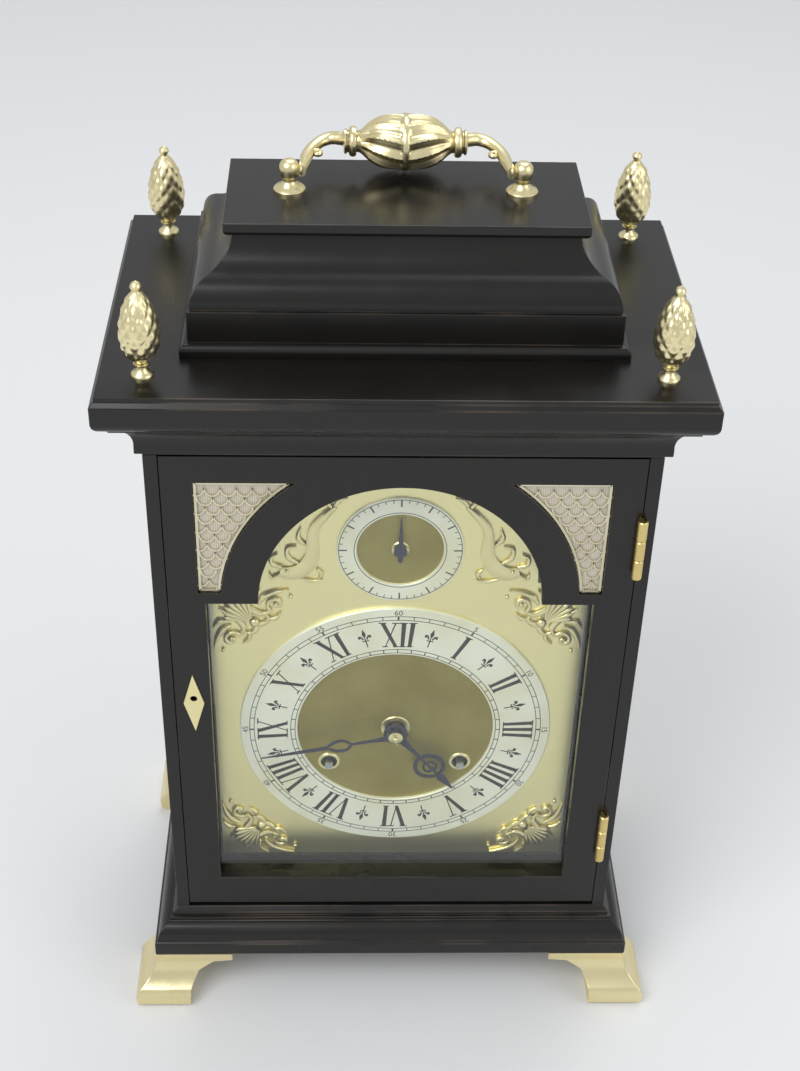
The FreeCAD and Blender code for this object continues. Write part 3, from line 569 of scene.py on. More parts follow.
BELL_METAL = TurnedMetal("cast_bell_metal_turned", Slot.BRASS, "#D6BC80", 0.24, 1.0,
                         axle=Axis.Z)
BOB_BRASS = TurnedMetal("turned_brass_bob", Slot.BRASS, "#E4CF8E", 0.24, 1.0,
                        centre=(0.0, 0.0, BOB_Z))
SILVERED = SilveredRing("silvered_brass_ring", Slot.SILVERED, "#F3F1E2", 0.42, 0.4)
SILVERED_ARCH = SilveredRing("silvered_brass_arch_ring", Slot.SILVERED, "#F3F1E2", 0.42, 0.4,
                             centre=ARCH_CENTRE)
DIAL_BRASS = DialBrass("dial_brass_matted", Slot.BRASS, "#F5EAB2", 0.34, 1.0)
BLUED = Mottled("blued_steel", Slot.BLUED, "#20242E", 0.32, 0.9, second="#14161D")
WAX = Mottled("engraving_wax", Slot.SILVERED, "#1B1814", 0.6, second="#2C261F", size=200.0)
GLASS = CrownGlass("crown_glass", Slot.GLASS, "#F7FAF8", 0.0)
SILK = WovenSilk("woven_silk", Slot.GILT, "#E0DACB", 0.6)
PAPER = StudioPaper("studio_paper", None, "#DEDFE0", 0.9)


# -------------------------------------------------------------------------------- shaping
def curve_through(points: Path, per_span: int = 6) -> list[tuple[float, ...]]:
    """Draws a smooth line through points.

    Args:
        points: the points, in two or three dimensions.
        per_span: pieces between two points.

    Returns:
        Points along the line, the first and last as given.
    """
    knots = [Vector((*p, 0.0)) if len(p) == 2 else Vector(p) for p in points]
    drawn: list[Vector] = []
    for i, (a, b) in enumerate(pairwise(knots)):
        before, after = knots[max(i - 1, 0)], knots[min(i + 2, len(knots) - 1)]
        span = interpolate_bezier(a, a + (b - before) / 6, b - (after - a) / 6, b, per_span + 1)
        drawn += span[:-1]
    return [tuple(p[:len(points[0])]) for p in (*drawn, knots[-1])]


def arc_through(start: Point, middle: Point, end: Point, steps: int = 8) -> list[Point]:
    """Divides the arc through three points.

    Args:
        start: where the arc starts; it isn't in the result.
        middle: a point on the arc.
        end: where the arc ends.
        steps: number of divisions.

    Returns:
        The points after start, ending with end.
    """
    (ax, ay), (bx, by), (cx, cy) = start, middle, end
    d = 2 * (ax * (by - cy) + bx * (cy - ay) + cx * (ay - by))
    a2, b2, c2 = ax * ax + ay * ay, bx * bx + by * by, cx * cx + cy * cy
    ux = (a2 * (by - cy) + b2 * (cy - ay) + c2 * (ay - by)) / d
    uy = (a2 * (cx - bx) + b2 * (ax - cx) + c2 * (bx - ax)) / d
    first = math.atan2(ay - uy, ax - ux)
    swing = (math.atan2(cy - uy, cx - ux) - first) % math.tau
    if (math.atan2(by - uy, bx - ux) - first) % math.tau > swing:
        swing -= math.tau
    radius = math.hypot(ax - ux, ay - uy)
    angles = [first + swing * (i + 1) / steps for i in range(steps)]
    return [(ux + radius * math.cos(a), uy + radius * math.sin(a)) for a in angles]


def section(steps: Path) -> list[Point]:
    """Draws a moulding's section.

    Args:
        steps: corners (offset, height), or arcs (offset, height on the way, offset, height).

    Returns:
        The section's points from bottom to top.
    """
    drawn: list[Point] = [tuple(steps[0])]
    for step in steps[1:]:
        if len(step) == 4:
            drawn += arc_through(drawn[-1], tuple(step[:2]), tuple(step[2:]))
        else:
            drawn.append(tuple(step))
    return drawn


def spiral(centre: Point, start: float, wind: float, outer: float, inner: float,
           steps: int) -> list[Point]:
    """Draws a volute that winds inwards.

    Args:
        centre: its eye.
        start: angle of its outer end in degrees.
        wind: degrees that it winds, negative for clockwise.
        outer: radius at its outer end.
        inner: radius at its eye.
        steps: divisions.

    Returns:
        Its points from the outer end to the eye.
    """
    drawn = []
    for i in range(steps + 1):
        share = i / steps
        radius = outer * (inner / outer) ** share
        angle = math.radians(start + wind * share)
        drawn.append((centre[0] + radius * math.cos(angle),
                      centre[1] + radius * math.sin(angle)))
    return drawn


def spread(values: Sequence[float], share: float) -> float:
    """Reads a value between evenly spread ones.

    Args:
        values: the values.
        share: how far along them, from 0 to 1.

    Returns:
        The value there.
    """
    place = share * (len(values) - 1)
    index = min(int(place), len(values) - 2)
    return values[index] + (values[index + 1] - values[index]) * (place - index)


def only(kind: type, parts: Iterable) -> list:
    """Picks the vertices or the edges from what an operator made."""
    return [part for part in parts if isinstance(part, kind)]


def at(x: float = 0.0, y: float = 0.0, z: float = 0.0) -> Matrix:
    """Returns the matrix that moves a blank by millimetres."""
    return Matrix.Translation((x, y, z))


def turn(degrees: float, axis: Axis) -> Matrix:
    """Returns the matrix that turns a blank about a main axis."""
    return Matrix.Rotation(math.radians(degrees), 4, Vector(axis.value))


STAY = Matrix.Identity(4)
FLIP_X = Matrix.Diagonal((-1, 1, 1, 1))
FLIP_Y = Matrix.Diagonal((1, -1, 1, 1))
FLIP_Z = Matrix.Diagonal((1, 1, -1, 1))
SWAP_XZ = Matrix(((0, 0, 1, 0), (0, 1, 0, 0), (1, 0, 0, 0), (0, 0, 0, 1)))


def facing(centre: Point, y: float) -> tuple[Matrix, Matrix]:
    """Steps that turn a blank's height towards the viewer and set its foot at y."""
    return turn(90, Axis.X), at(centre[0], y, centre[1])


def backing(x: float, y: float, z: float) -> tuple[Matrix, Matrix]:
    """Steps that turn a blank's height towards the back and set its foot at a place."""
    return turn(-90, Axis.X), at(x, y, z)


def clockwise(degrees: float, centre: Point = DIAL_CENTRE) -> tuple[Matrix, Matrix]:
    """Steps that turn what is drawn upwards to an angle from twelve, round a centre."""
    return turn(degrees, Axis.Y), at(centre[0], 0, centre[1])


class Blank:
    """A mesh under work, in millimetres."""

    def __init__(self) -> None:
        """Starts with an empty mesh."""
        self.mesh = bmesh.new()

    @classmethod
    def turned(cls, profile: Path, steps: int, closed: bool = False) -> "Blank":
        """Turns a profile round the z axis.

        Args:
            profile: points (radius, height) from bottom to top.
            steps: faces round the piece.
            closed: True if the profile is a closed loop clear of the axis.

        Returns:
            The turned blank.
        """
        blank = cls()
        verts = [blank.mesh.verts.new((p[0], 0.0, p[1])) for p in profile]
        for a, b in pairwise(verts):
            blank.mesh.edges.new((a, b))
        if closed:
            blank.mesh.edges.new((verts[-1], verts[0]))
        bmesh.ops.spin(blank.mesh, geom=[*blank.mesh.verts, *blank.mesh.edges],
                       cent=(0, 0, 0), axis=(0, 0, 1), dvec=(0, 0, 0), angle=math.tau,
                       steps=steps, use_merge=True, use_duplicate=False)
        bmesh.ops.remove_doubles(blank.mesh, verts=blank.mesh.verts, dist=0.0005)
        return blank

    @classmethod
    def swept(cls, path: Path, widths: Sequence[float], heights: Sequence[float] | float,
              sides: int = 8, normal: Axis = Axis.Y) -> "Blank":
        """Draws an oval section along a path.

        Args:
            path: points in three dimensions.
            widths: half widths across the path, spread evenly over it.
            heights: half heights along the normal, likewise, or one value.
            sides: faces round the section.
            normal: direction that the section's height follows.

        Returns:
            The swept blank, closed at both ends.
        """
        blank = cls()
        points = [Vector(p) for p in path]
        tall = [heights] * 2 if isinstance(heights, (int, float)) else heights
        frames = []
        for i, point in enumerate(points):
            ahead = (points[min(i + 1, len(points) - 1)] - points[max(i - 1, 0)]).normalized()
            across = Vector(normal.value).cross(ahead).normalized()
            up = ahead.cross(across)
            share = i / (len(points) - 1)
            oval = (across * spread(widths, share), up * spread(tall, share), ahead)
            frames.append(Matrix.Translation(point) @ Matrix(oval).transposed().to_4x4())
        ring = bmesh.ops.create_circle(blank.mesh, cap_ends=False, segments=sides,
                                       radius=1.0)["verts"]
        bmesh.ops.rotate(blank.mesh, cent=(0, 0, 0), verts=ring,
                         matrix=Matrix.Rotation(math.pi / sides, 3, "Z"))
        bmesh.ops.transform(blank.mesh, matrix=frames[0], verts=ring)
        first = edges = list(blank.mesh.edges)
        for before, after in pairwise(frames):
            grown = bmesh.ops.extrude_edge_only(blank.mesh, edges=edges)["geom"]
            edges = only(BMEdge, grown)
            bmesh.ops.transform(blank.mesh, matrix=after @ before.inverted(),
                                verts=only(BMVert, grown))
        bmesh.ops.contextual_create(blank.mesh, geom=first)
        bmesh.ops.contextual_create(blank.mesh, geom=edges)
        return blank

    @classmethod
    def sawn(cls, outline: Path, front: float, back: float) -> "Blank":
        """Saws a flat piece to an outline.

        Args:
            outline: corners (x, z) in order.
            front: y of its front face.
            back: y of its back face.

        Returns:
            The sawn blank.
        """
        blank = cls()
        verts = [blank.mesh.verts.new((p[0], back, p[1])) for p in outline]
        rim = [blank.mesh.edges.new(ends) for ends in pairwise([*verts, verts[0]])]
        made = bmesh.ops.contextual_create(blank.mesh, geom=rim)["faces"]
        grown = bmesh.ops.extrude_face_region(blank.mesh, geom=made, use_keep_orig=True)["geom"]
        bmesh.ops.translate(blank.mesh, vec=(0, front - back, 0), verts=only(BMVert, grown))
        return blank

    @classmethod
    def slat(cls, x: Point, z: Point, front: float, back: float) -> "Blank":
        """Saws a rectangle."""
        return cls.sawn([(x[0], z[0]), (x[1], z[0]), (x[1], z[1]), (x[0], z[1])], front, back)

    @classmethod
    def block(cls, x: Point, y: Point, z: Point) -> "Blank":
        """Cuts a block.

        Args:
            x: its limits along x.
            y: its limits along y.
            z: its limits along z.

        Returns:
            The block.
        """
        blank = cls()
        bmesh.ops.create_cube(blank.mesh, size=1.0)
        size = [high - low for low, high in (x, y, z)]
        bmesh.ops.scale(blank.mesh, vec=size, verts=blank.mesh.verts)
        return blank.moved(at(*(sum(limits) / 2 for limits in (x, y, z))))

    @classmethod
    def pearl(cls, radius: float) -> "Blank":
        """Makes a ball round the origin.

        Args:
            radius: its radius.

        Returns:
            The ball.
        """
        blank = cls()
        bmesh.ops.create_icosphere(blank.mesh, subdivisions=2, radius=radius)
        return blank

    @classmethod
    def mitred(cls, drawn: Sequence[Point], half_w: float, half_d: float) -> "Blank":
        """Runs a moulding's section round the case, mitred at the corners.

        Args:
            drawn: points (offset from the case, height) from bottom to top.
            half_w: half width that an offset is counted from.
            half_d: half depth, likewise.

        Returns:
            The solid course.
        """
        blank = cls()
        ring = bmesh.ops.create_circle(blank.mesh, cap_ends=True, segments=4,
                                       radius=math.sqrt(2))["verts"]
        bmesh.ops.rotate(blank.mesh, cent=(0, 0, 0), verts=ring,
                         matrix=Matrix.Rotation(math.pi / 4, 3, "Z"))
        here = (half_w + drawn[0][0], half_d + drawn[0][0])
        bmesh.ops.scale(blank.mesh, vec=(*here, 1), verts=ring)
        bmesh.ops.translate(blank.mesh, vec=(0, 0, drawn[0][1]), verts=ring)
        edges = list(blank.mesh.edges)
        for (_, low), (offset, high) in pairwise(drawn):
            grown = bmesh.ops.extrude_edge_only(blank.mesh, edges=edges)["geom"]
            edges, ring = only(BMEdge, grown), only(BMVert, grown)
            there = (half_w + offset, half_d + offset)
            bmesh.ops.scale(blank.mesh, verts=ring,
                            vec=(there[0] / here[0], there[1] / here[1], 1))
            bmesh.ops.translate(blank.mesh, vec=(0, 0, high - low), verts=ring)
            here = there
        bmesh.ops.contextual_create(blank.mesh, geom=edges)
        return blank

    @classmethod
    def copied(cls, node: str) -> "Blank":
        """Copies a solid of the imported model, with each flat face in one piece.

        Args:
            node: the solid's name.

        Returns:
            The copy.
        """
        blank = cls()
        blank.mesh.from_mesh(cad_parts[node].data)
        bmesh.ops.scale(blank.mesh, vec=(1 / MM, 1 / MM, 1 / MM), verts=blank.mesh.verts)
        bmesh.ops.remove_doubles(blank.mesh, verts=blank.mesh.verts, dist=0.002)
        bmesh.ops.dissolve_limit(blank.mesh, angle_limit=math.radians(0.6),
                                 verts=blank.mesh.verts, edges=blank.mesh.edges)
        return blank

    def eased(self, width: float, above: float = 30.0) -> "Blank":
        """Rounds its arrises and marks them, so that a finish can show wear there.

        Args:
            width: width of the rounding.
            above: least angle in degrees between the faces of an arris.

        Returns:
            The same blank.
        """
        least = math.radians(above)
        arrises = [e for e in self.mesh.edges
                   if e.is_manifold and e.calc_face_angle(0.0) > least]
        layer = self.mesh.faces.layers.float.new("arris")
        done = bmesh.ops.bevel(self.mesh, geom=arrises, offset=width, offset_type="OFFSET",
                               segments=2, profile=0.5, affect="EDGES", material=-1,
                               clamp_overlap=False, loop_slide=True)
        for face in done["faces"]:
            if face.is_valid:
                face[layer] = 1.0
        return self

    def moved(self, *steps: Matrix) -> "Blank":
        """Moves, turns or scales it.

        Args:
            steps: matrices, the first one first.

        Returns:
            The same blank.
        """
        for step in steps:
            bmesh.ops.transform(self.mesh, matrix=step, verts=self.mesh.verts)
        return self

    def took(self, *others: "Blank") -> "Blank":
        """Takes other blanks into this one and uses them up.

        Args:
            others: the blanks to take.

        Returns:
            This blank.
        """
        for other in others:
            carrier = bpy.data.meshes.new("carrier")
            other.mesh.to_mesh(carrier)
            self.mesh.from_mesh(carrier)
            other.mesh.free()
            bpy.data.meshes.remove(carrier)
        return self

    def copy(self, *steps: Matrix) -> "Blank":
        """Makes a moved copy.

        Args:
            steps: matrices, the first one first.

        Returns:
            The copy.
        """
        twin = Blank()
        twin.mesh = self.mesh.copy()
        return twin.moved(*steps)

    def finished(self, name: str, finish: Finish, replaces: Sequence[str] = (),
                 body: str = "case", smooth: float = 32.0) -> bpy.types.Object:
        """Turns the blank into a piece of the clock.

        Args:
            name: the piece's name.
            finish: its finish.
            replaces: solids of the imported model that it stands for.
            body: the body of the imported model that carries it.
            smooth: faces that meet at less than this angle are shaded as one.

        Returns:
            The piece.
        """
        limit = math.radians(smooth)
        bmesh.ops.recalc_face_normals(self.mesh, faces=self.mesh.faces)
        for face in self.mesh.faces:
            face.smooth = True
        for edge in self.mesh.edges:
            edge.smooth = edge.is_manifold and edge.calc_face_angle(0.0) < limit
        bmesh.ops.scale(self.mesh, vec=(MM, MM, MM), verts=self.mesh.verts)
        data = bpy.data.meshes.new(name)
        self.mesh.to_mesh(data)
        self.mesh.free()
        data.materials.append(finish.material())
        piece = bpy.data.objects.new(name, data)
        bpy.context.scene.collection.objects.link(piece)
        if any("arris" == a.name for a in data.attributes):
            weighted = piece.modifiers.new("even_faces", "WEIGHTED_NORMAL")
            weighted.keep_sharp = True
        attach(piece, body)
        if replaces:
            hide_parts(*replaces)
        LOG.info("%s on %s: %d faces, %s", name, body, len(data.polygons), finish.name)
        return piece


def soften(node: str, name: str, finish: Finish, width: float, body: str = "case",
           above: float = 30.0) -> None:
    """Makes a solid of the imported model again, with its arrises eased.

    Args:
        node: the solid, which the piece stands for.
        name: the piece's name.
        finish: its finish.
        width: width of the rounding.
        body: the body that carries it.
        above: least angle in degrees between the faces of an arris.
    """
    Blank.copied(node).eased(width, above).finished(name, finish, [node], body)


def dress(finish: Finish, *nodes: str) -> None:
    """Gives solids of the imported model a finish.

    Args:
        finish: the finish.
        nodes: names of the solids.
    """
    for name in nodes:
        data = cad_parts[name].data
        data.materials.clear()
        data.materials.append(finish.material())
        LOG.info("%s kept: %s", name, finish.name)


def taper_pin(half: float, thin: float, thick: float, height: float) -> Blank:
    """Turns a taper pin that lies along x at a height."""
    pin = Blank.turned([(0, -half), (thin, -half), (thick, half), (0, half)], 12)
    return pin.moved(turn(90, Axis.Y), at(0, 0, height))


# ----------------------------------------------------------------------------------- case
@dataclass
class Case:
    """The ebonised case: mouldings, bell top, side panels, feet and inner boards."""

    half_w: float = 112.5
    half_d: float = 68.0
    arris: float = 0.45

    def build(self) -> None:
        """Builds the case from the floor up."""
        soften("feet", "bracket_feet", GILT, 0.5)
        soften("base_moulding", "base_course", EBONY_ACROSS, self.arris)
        self.build_courses()
        for side in ("left", "right"):
            soften("side_panel_" + side, "panel_" + side, EBONY_UPRIGHT, 0.3)
        dress(OAK, "floor_board", "seat_cheeks", "seat_board")
        dress(EBONY_UPRIGHT, "dial_mask")
        dress(STEEL, "seat_bolts")

    def build_courses(self) -> None:
        """Runs the cornice, the bell top and its cap."""
        courses = {
            "cornice": [(0, 339.7), (0, 342), (3, 342), (3, 345), (5, 353.5, 12, 358.5),
                        (12, 361), (14.5, 361), (17, 363, 18, 366), (18, 374), (16, 376),
                        (16, 378)],
            "bell_top": [(-16.5, 378), (-16.5, 380), (-17.5, 382.7, -20, 383.5), (-20, 398),
                         (-21.5, 398), (-22.8, 405.5, -29.5, 411), (-36, 416.5, -39, 425)],
            "cap": [(-37.5, 425), (-36, 426, -35.5, 427.5), (-35.5, 431)],
        }
        for node, steps in courses.items():
            course = Blank.mitred(section(steps), self.half_w, self.half_d)
            course.eased(self.arris).finished(node + "_course", EBONY_ACROSS, [node])


@dataclass
class Finials:
    """Four cast pineapple finials on the corners of the cornice."""

    x: float = 110.0
    y: float = 65.5
    z: float = 378.0
    scales: int = 9
    pitch: float = 7.0                  # height of a scale
    relief: float = 0.75
    chased: Point = (7.5, 38.6)         # heights between which it has scales

    def build(self) -> None:
        """Turns one finial, chases its scales and sets four of them."""
        foot = [(0, 0), (4.8, 0), (4.8, 1.1), (4.2, 1.7), (2.5, 3.0), (2.2, 4.4), (3.5, 5.2),
                (3.5, 6.0)]
        body = curve_through([(2.7, 6.6), (4.6, 8.6), (6.9, 12), (8.2, 17), (8.3, 21),
                              (7.6, 26.5), (6.0, 32), (3.9, 36.6), (1.9, 39)], 7)
        crown = curve_through([(1.9, 39), (1.7, 39.8), (2.4, 41.2), (1.7, 42.8), (0, 44)], 4)
        one = Blank.turned([*foot, *body[:-1], *crown], 72)
        low, high = self.chased
        for vert in one.mesh.verts:
            x, y, height = vert.co
            radius = math.hypot(x, y)
            if not low < height < high or radius < 0.1:
                continue
            angle = math.atan2(y, x) * self.scales
            lift = math.tau * height / self.pitch
            boss = (0.5 + 0.5 * math.cos(angle + lift)) * (0.5 + 0.5 * math.cos(angle - lift))
            fade = min(1.0, (height - low) / 3, (high - height) / 4)
            grown = 1 + self.relief * (math.sqrt(boss) - 0.35) * fade / radius
            vert.co = (x * grown, y * grown, height)
        four = Blank()
        for x, y in product((-self.x, self.x), (-self.y, self.y)):
            four.took(one.copy(at(x, y, self.z)))
        one.mesh.free()
        four.finished("pineapple_finials", GILT, ["finials"], smooth=50)


@dataclass
class CarryingHandle:
    """Bail handle: two turned posts, swan-necked arms and a foliate grip, folded back."""

    pivot_x: float = 50.0
    pivot_z: float = 441.0
    post_z: float = 431.0
    grip_y: float = 21.0
    grip_z: float = 444.6
    leaves: int = 10
    chased: float = 19.6                # half length of the chased swelling
    twist: float = 1.9

    def build(self) -> None:
        """Makes the posts and the bail."""
        profile = [(0, 0), (6.9, 0), (6.9, 1.2), (6.2, 2.0), *curve_through(
            [(4.6, 2.6), (3.2, 4.2), (2.9, 5.4), (3.8, 7.2), (4.3, 10), (3.9, 12.4),
             (2.4, 14.0), (0, 14.4)], 4)]
        posts = Blank()
        for side in (-1, 1):
            posts.took(Blank.turned(profile, 40).moved(at(side * self.pivot_x, 0, self.post_z)))
        posts.finished("handle_post_pair", GILT, ["handle_posts"])
        self.build_bail()

    def build_bail(self) -> None:
        """Draws the arms with their scrolls and pivots, and adds the grip."""
        bail = Blank()
        arm = curve_through([(44.6, -2.4, 441), (43.6, 5, 441), (42.8, 12, 441.3),
                             (40.6, 19, 442), (36.6, 24.6, 442.9), (32, 26.4, 443.7),
                             (28, 24.4, 444.3), (24.4, 21.4, 444.6)], 7)
        scroll = [(x, y, 441.8) for x, y in spiral((38.4, 14.2), -20, 420, 2.9, 0.8, 26)]
        eye = [(0, 44.2), (2.6, 44.2), (3.2, 44.8), (3.2, 45.4), (2, 46), (2, 51.4), (0, 51.4)]
        for side in (STAY, FLIP_X):
            bail.took(
                Blank.swept(arm, [1.9, 2.3, 2.8, 2.7, 3.1, 3.4, 2.9, 2.5],
                            [2.6, 2.8, 2.5, 2.4, 2.7, 3.0, 2.7], 16, Axis.Z).moved(side),
                Blank.swept(scroll, [1.4, 1.1, 0.7], [1.6, 1.2, 0.9], 10, Axis.Z).moved(side),
                Blank.turned(eye, 24).moved(turn(90, Axis.Y), at(0, 0, self.pivot_z), side))
        bail.took(self.grip())
        bail.finished("carrying_handle", GILT, ["handle"], "handle", smooth=50)

    def grip(self) -> Blank:
        """Turns the baluster grip along x and chases leaves on its swelling.

        Returns:
            The grip with its band.
        """
        half = [(12.2, 0), (12.1, 4), (11.6, 8), (10.4, 12), (8.2, 15.6), (5.7, 18.6), (4.7, 20.2)]
        ends = [(4.6, 21.0), (6.2, 21.5), (6.7, 22.9), (6.2, 24.2), (4.8, 24.8), (4.8, 25.3),
                (5.4, 25.7), (5.4, 26.5), (4.4, 27), (0, 27)]
        right = curve_through(half, 8) + ends
        blank = Blank.turned([(r, -h) for r, h in reversed(right)] + right[1:], 140)
        for vert in blank.mesh.verts:
            x, y, h = vert.co
            radius = math.hypot(x, y)
            if abs(h) > self.chased or radius < 1:
                continue
            share = abs(h) / self.chased
            angle = math.atan2(y, x) * self.leaves / 2 + self.twist * share
            leaf = math.cos(angle) ** 2
            vein = 0.22 * leaf * math.cos(6 * angle)
            fade = min(1.0, share / 0.12) * min(1.0, (1 - share) / 0.2)
            grown = 1 + (1.6 * (leaf - 0.95) + vein) * fade / radius
            vert.co = (x * grown, y * grown, h)
        band = Blank.turned([(12.0, -1.3), (12.35, -0.7), (12.35, 0.7), (12.0, 1.3),
                             (11.4, 1.3), (11.4, -1.3)], 100, closed=True)
        return blank.took(band).moved(turn(90, Axis.Y), at(0, self.grip_y, self.grip_z))


# ---------------------------------------------------------------------------------- doors
@dataclass
class Doors:
    """Both glazed doors, with the escutcheon, the lock and the catch."""

    arris: float = 0.35

    def build(self) -> None:
        """Makes the doors and dresses what they carry."""
        for door in ("front_door", "back_door"):
            soften(door, door + "_frame", EBONY_UPRIGHT, self.arris, door)
        dress(GLASS, "front_door_glass", "back_door_glass")
        soften("escutcheon", "lozenge_escutcheon", GILT_FINE, 0.3, "front_door")
        dress(PLATE_BRASS, "front_lock", "back_catch")
        dress(STEEL, "front_lock_bolt")


@dataclass
class Hinges:
    """Four butt hinges of brass: knuckles, pins, leaves and their screws."""

    feet: Point = (92.0, 276.0)
    height: float = 32.0
    pin_x: float = 106.15
    pin_y: float = 70.7
    radius: float = 2.4
    gap: float = 0.1                    # half the gap between knuckles
    leaf_y: Point = (-68.0, -55.7)

    def build(self) -> None:
        """Makes the case's halves and both doors' halves."""
        case = Blank()
        for side in ("front", "back"):
            door = self.half(side == "back", on_door=True)
            case.took(self.half(side == "back", on_door=False))
            door.finished(f"{side}_door_hinges", PLATE_BRASS, [f"{side}_hinge_leaves"],
                          f"{side}_door")
        case.finished("case_hinges", PLATE_BRASS, ["hinge_case_leaves"])

    def half(self, back: bool, on_door: bool) -> Blank:
        """Makes the halves of two hinges that one side carries.

        Args:
            back: True for the back door's hinges.
            on_door: True for the half on the door, False for the half on the case.

        Returns:
            Leaves with knuckles and screws.
        """
        third = self.height / 3
        if on_door:
            spans = [(third + self.gap, 2 * third - self.gap)]
            x = (104.8, self.pin_x - 0.3)
            screw_x, face = x[1], turn(90, Axis.Y)
        else:
            spans = [(0.0, third - self.gap), (2 * third + self.gap, self.height)]
            x = (self.pin_x + 0.3, 107.4)
            screw_x, face = x[0], turn(-90, Axis.Y)
        made = Blank()
        for foot in self.feet:
            made.took(Blank.block(x, self.leaf_y, (foot, foot + self.height)))
            for low, high in spans:
                ends = [(0, low), (self.radius - 0.5, low), (self.radius, low + 0.5),
                        (self.radius, high - 0.5), (self.radius - 0.5, high), (0, high)]
                made.took(Blank.turned(ends, 32).moved(at(self.pin_x, -self.pin_y, foot)),
                          Blank.block(x, (-self.pin_y, -67.7), (foot + low, foot + high)))
            for share in (0.18, 0.5, 0.82):
                head = Blank.turned([(0, -0.2), (2.0, -0.2), (1.7, 0.12), (0, 0.18)], 20)
                made.took(head.moved(face, at(screw_x, -61.5, foot + share * self.height)))
        return made.moved(FLIP_Y) if back else made


@dataclass
class Frets:
    """Pierced fish-scale sheets over silk: two in the front door, one in each side."""

    scale_w: float = 7.0
    scale_h: float = 5.0
    web: float = 0.45
    spring: float = 258.0               # height of the door's arch centre

    def build(self) -> None:
        """Makes the four frets and their silk."""
        self.build_sides()
        self.build_spandrels()

    def scales(self, low: Point, high: Point, inside: Callable[[float, float], bool]) -> Blank:
        """Draws rows of scales in a sheet seen from the front.

        Args:
            low: lowest corner (x, z) of the field.
            high: highest corner.
            inside: function that says whether a point of the field takes a scale.

        Returns:
            The scales, 0.6 mm thick, round y = 0.
        """
        half = self.scale_w / 2
        arc = [(half * math.cos(a), 0.0, -half * 1.25 * math.sin(a))
               for a in (math.pi * i / 8 for i in range(9))]
        one = Blank.swept(arc, [self.web, self.web], 0.3, 4)
        field = Blank()
        rows = int((high[1] - low[1]) / self.scale_h) + 1
        columns = int((high[0] - low[0]) / self.scale_w) + 2
        for row, column in product(range(rows), range(columns)):
            x = low[0] + column * self.scale_w + half * (row % 2)
            z = low[1] + (row + 0.5) * self.scale_h
            if inside(x, z):
                field.took(one.copy(at(x, 0, z)))
        one.mesh.free()
        return field

    def build_sides(self) -> None:
        """Makes the side frets, which fill the arched windows from inside."""
        def inside(x: float, z: float) -> bool:
            """Keeps scales within the window and its rebate."""
            return abs(x) < 23 and (z < 250 or math.hypot(x, z - 250) < 26)

        for side, name in ((-1, "left"), (1, "right")):
            fret = self.scales((-24.5, 107.5), (24.5, 274), inside)
            for x in (-23.6, 23.6):
                fret.took(Blank.slat((x - 1.2, x + 1.2), (107.2, 274.8), -0.35, 0.35))
            for z in (108.6, 273.4):
                fret.took(Blank.slat((-24.8, 24.8), (z - 1.4, z + 1.4), -0.35, 0.35))
            fret.moved(turn(90, Axis.Z), at(side * 103.9, 0, 0)).finished(
                "side_fret_" + name, FRET_BRASS)
            silk = Blank.slat((-24.6, 24.6), (107.4, 274.6), -0.1, 0.1)
            silk = silk.moved(turn(90, Axis.Z), at(side * 103.2, 0, 0)).finished(
                "side_silk_" + name, SILK, ["side_frets"] if side == 1 else ())

    def outline(self, shrink: float) -> list[Point]:
        """Draws the outline of the door's right spandrel.

        Args:
            shrink: margin that it is drawn in by.

        Returns:
            Its corners (x, z): 17 along the arch and two of the door.
        """
        radius, low, high, right = 82 + shrink, 264 + shrink, 325 - shrink, 92 - shrink
        first = math.asin((low - self.spring) / radius)
        last = math.asin((high - self.spring) / radius)
        arc = [(radius * math.cos(a), self.spring + radius * math.sin(a))
               for a in (last + (first - last) * i / 16 for i in range(17))]
        return [*arc, (right, low), (right, high)]

    def build_spandrels(self) -> None:
        """Makes the three-cornered frets of the front door."""
        def inside(x: float, z: float) -> bool:
            """Keeps scales between the arch band and the door's corner."""
            return math.hypot(x, z - self.spring) > 83.5 and x < 91 and 266 < z < 324

        right = self.scales((24, 264), (92, 326), inside)
        border = [(x, 0.0, z) for x, z in self.outline(0.9)]
        for run in (border[:17], border[16:18], border[17:19], (border[18], border[0])):
            right.took(Blank.swept(run, [0.8, 0.8], 0.5, 4))
        right.moved(at(0, -66.2, 0))
        cut = self.outline(0.3)
        silk = Blank.sawn(cut, -65.35, -65.15)
        for side, name in ((FLIP_X, "left"), (STAY, "right")):
            right.copy(side).finished("door_fret_" + name, FRET_BRASS, body="front_door")
            cloth = silk.copy(side).finished(
                "door_silk_" + name, SILK, ["door_frets"] if name == "right" else (),
                "front_door")
        right.mesh.free()
        silk.mesh.free()


# ----------------------------------------------------------------------------------- dial
def waxed(y: float) -> Point:
    """Front and back of a line cut into a face and filled with wax."""
    return y - 0.04, y + 0.2


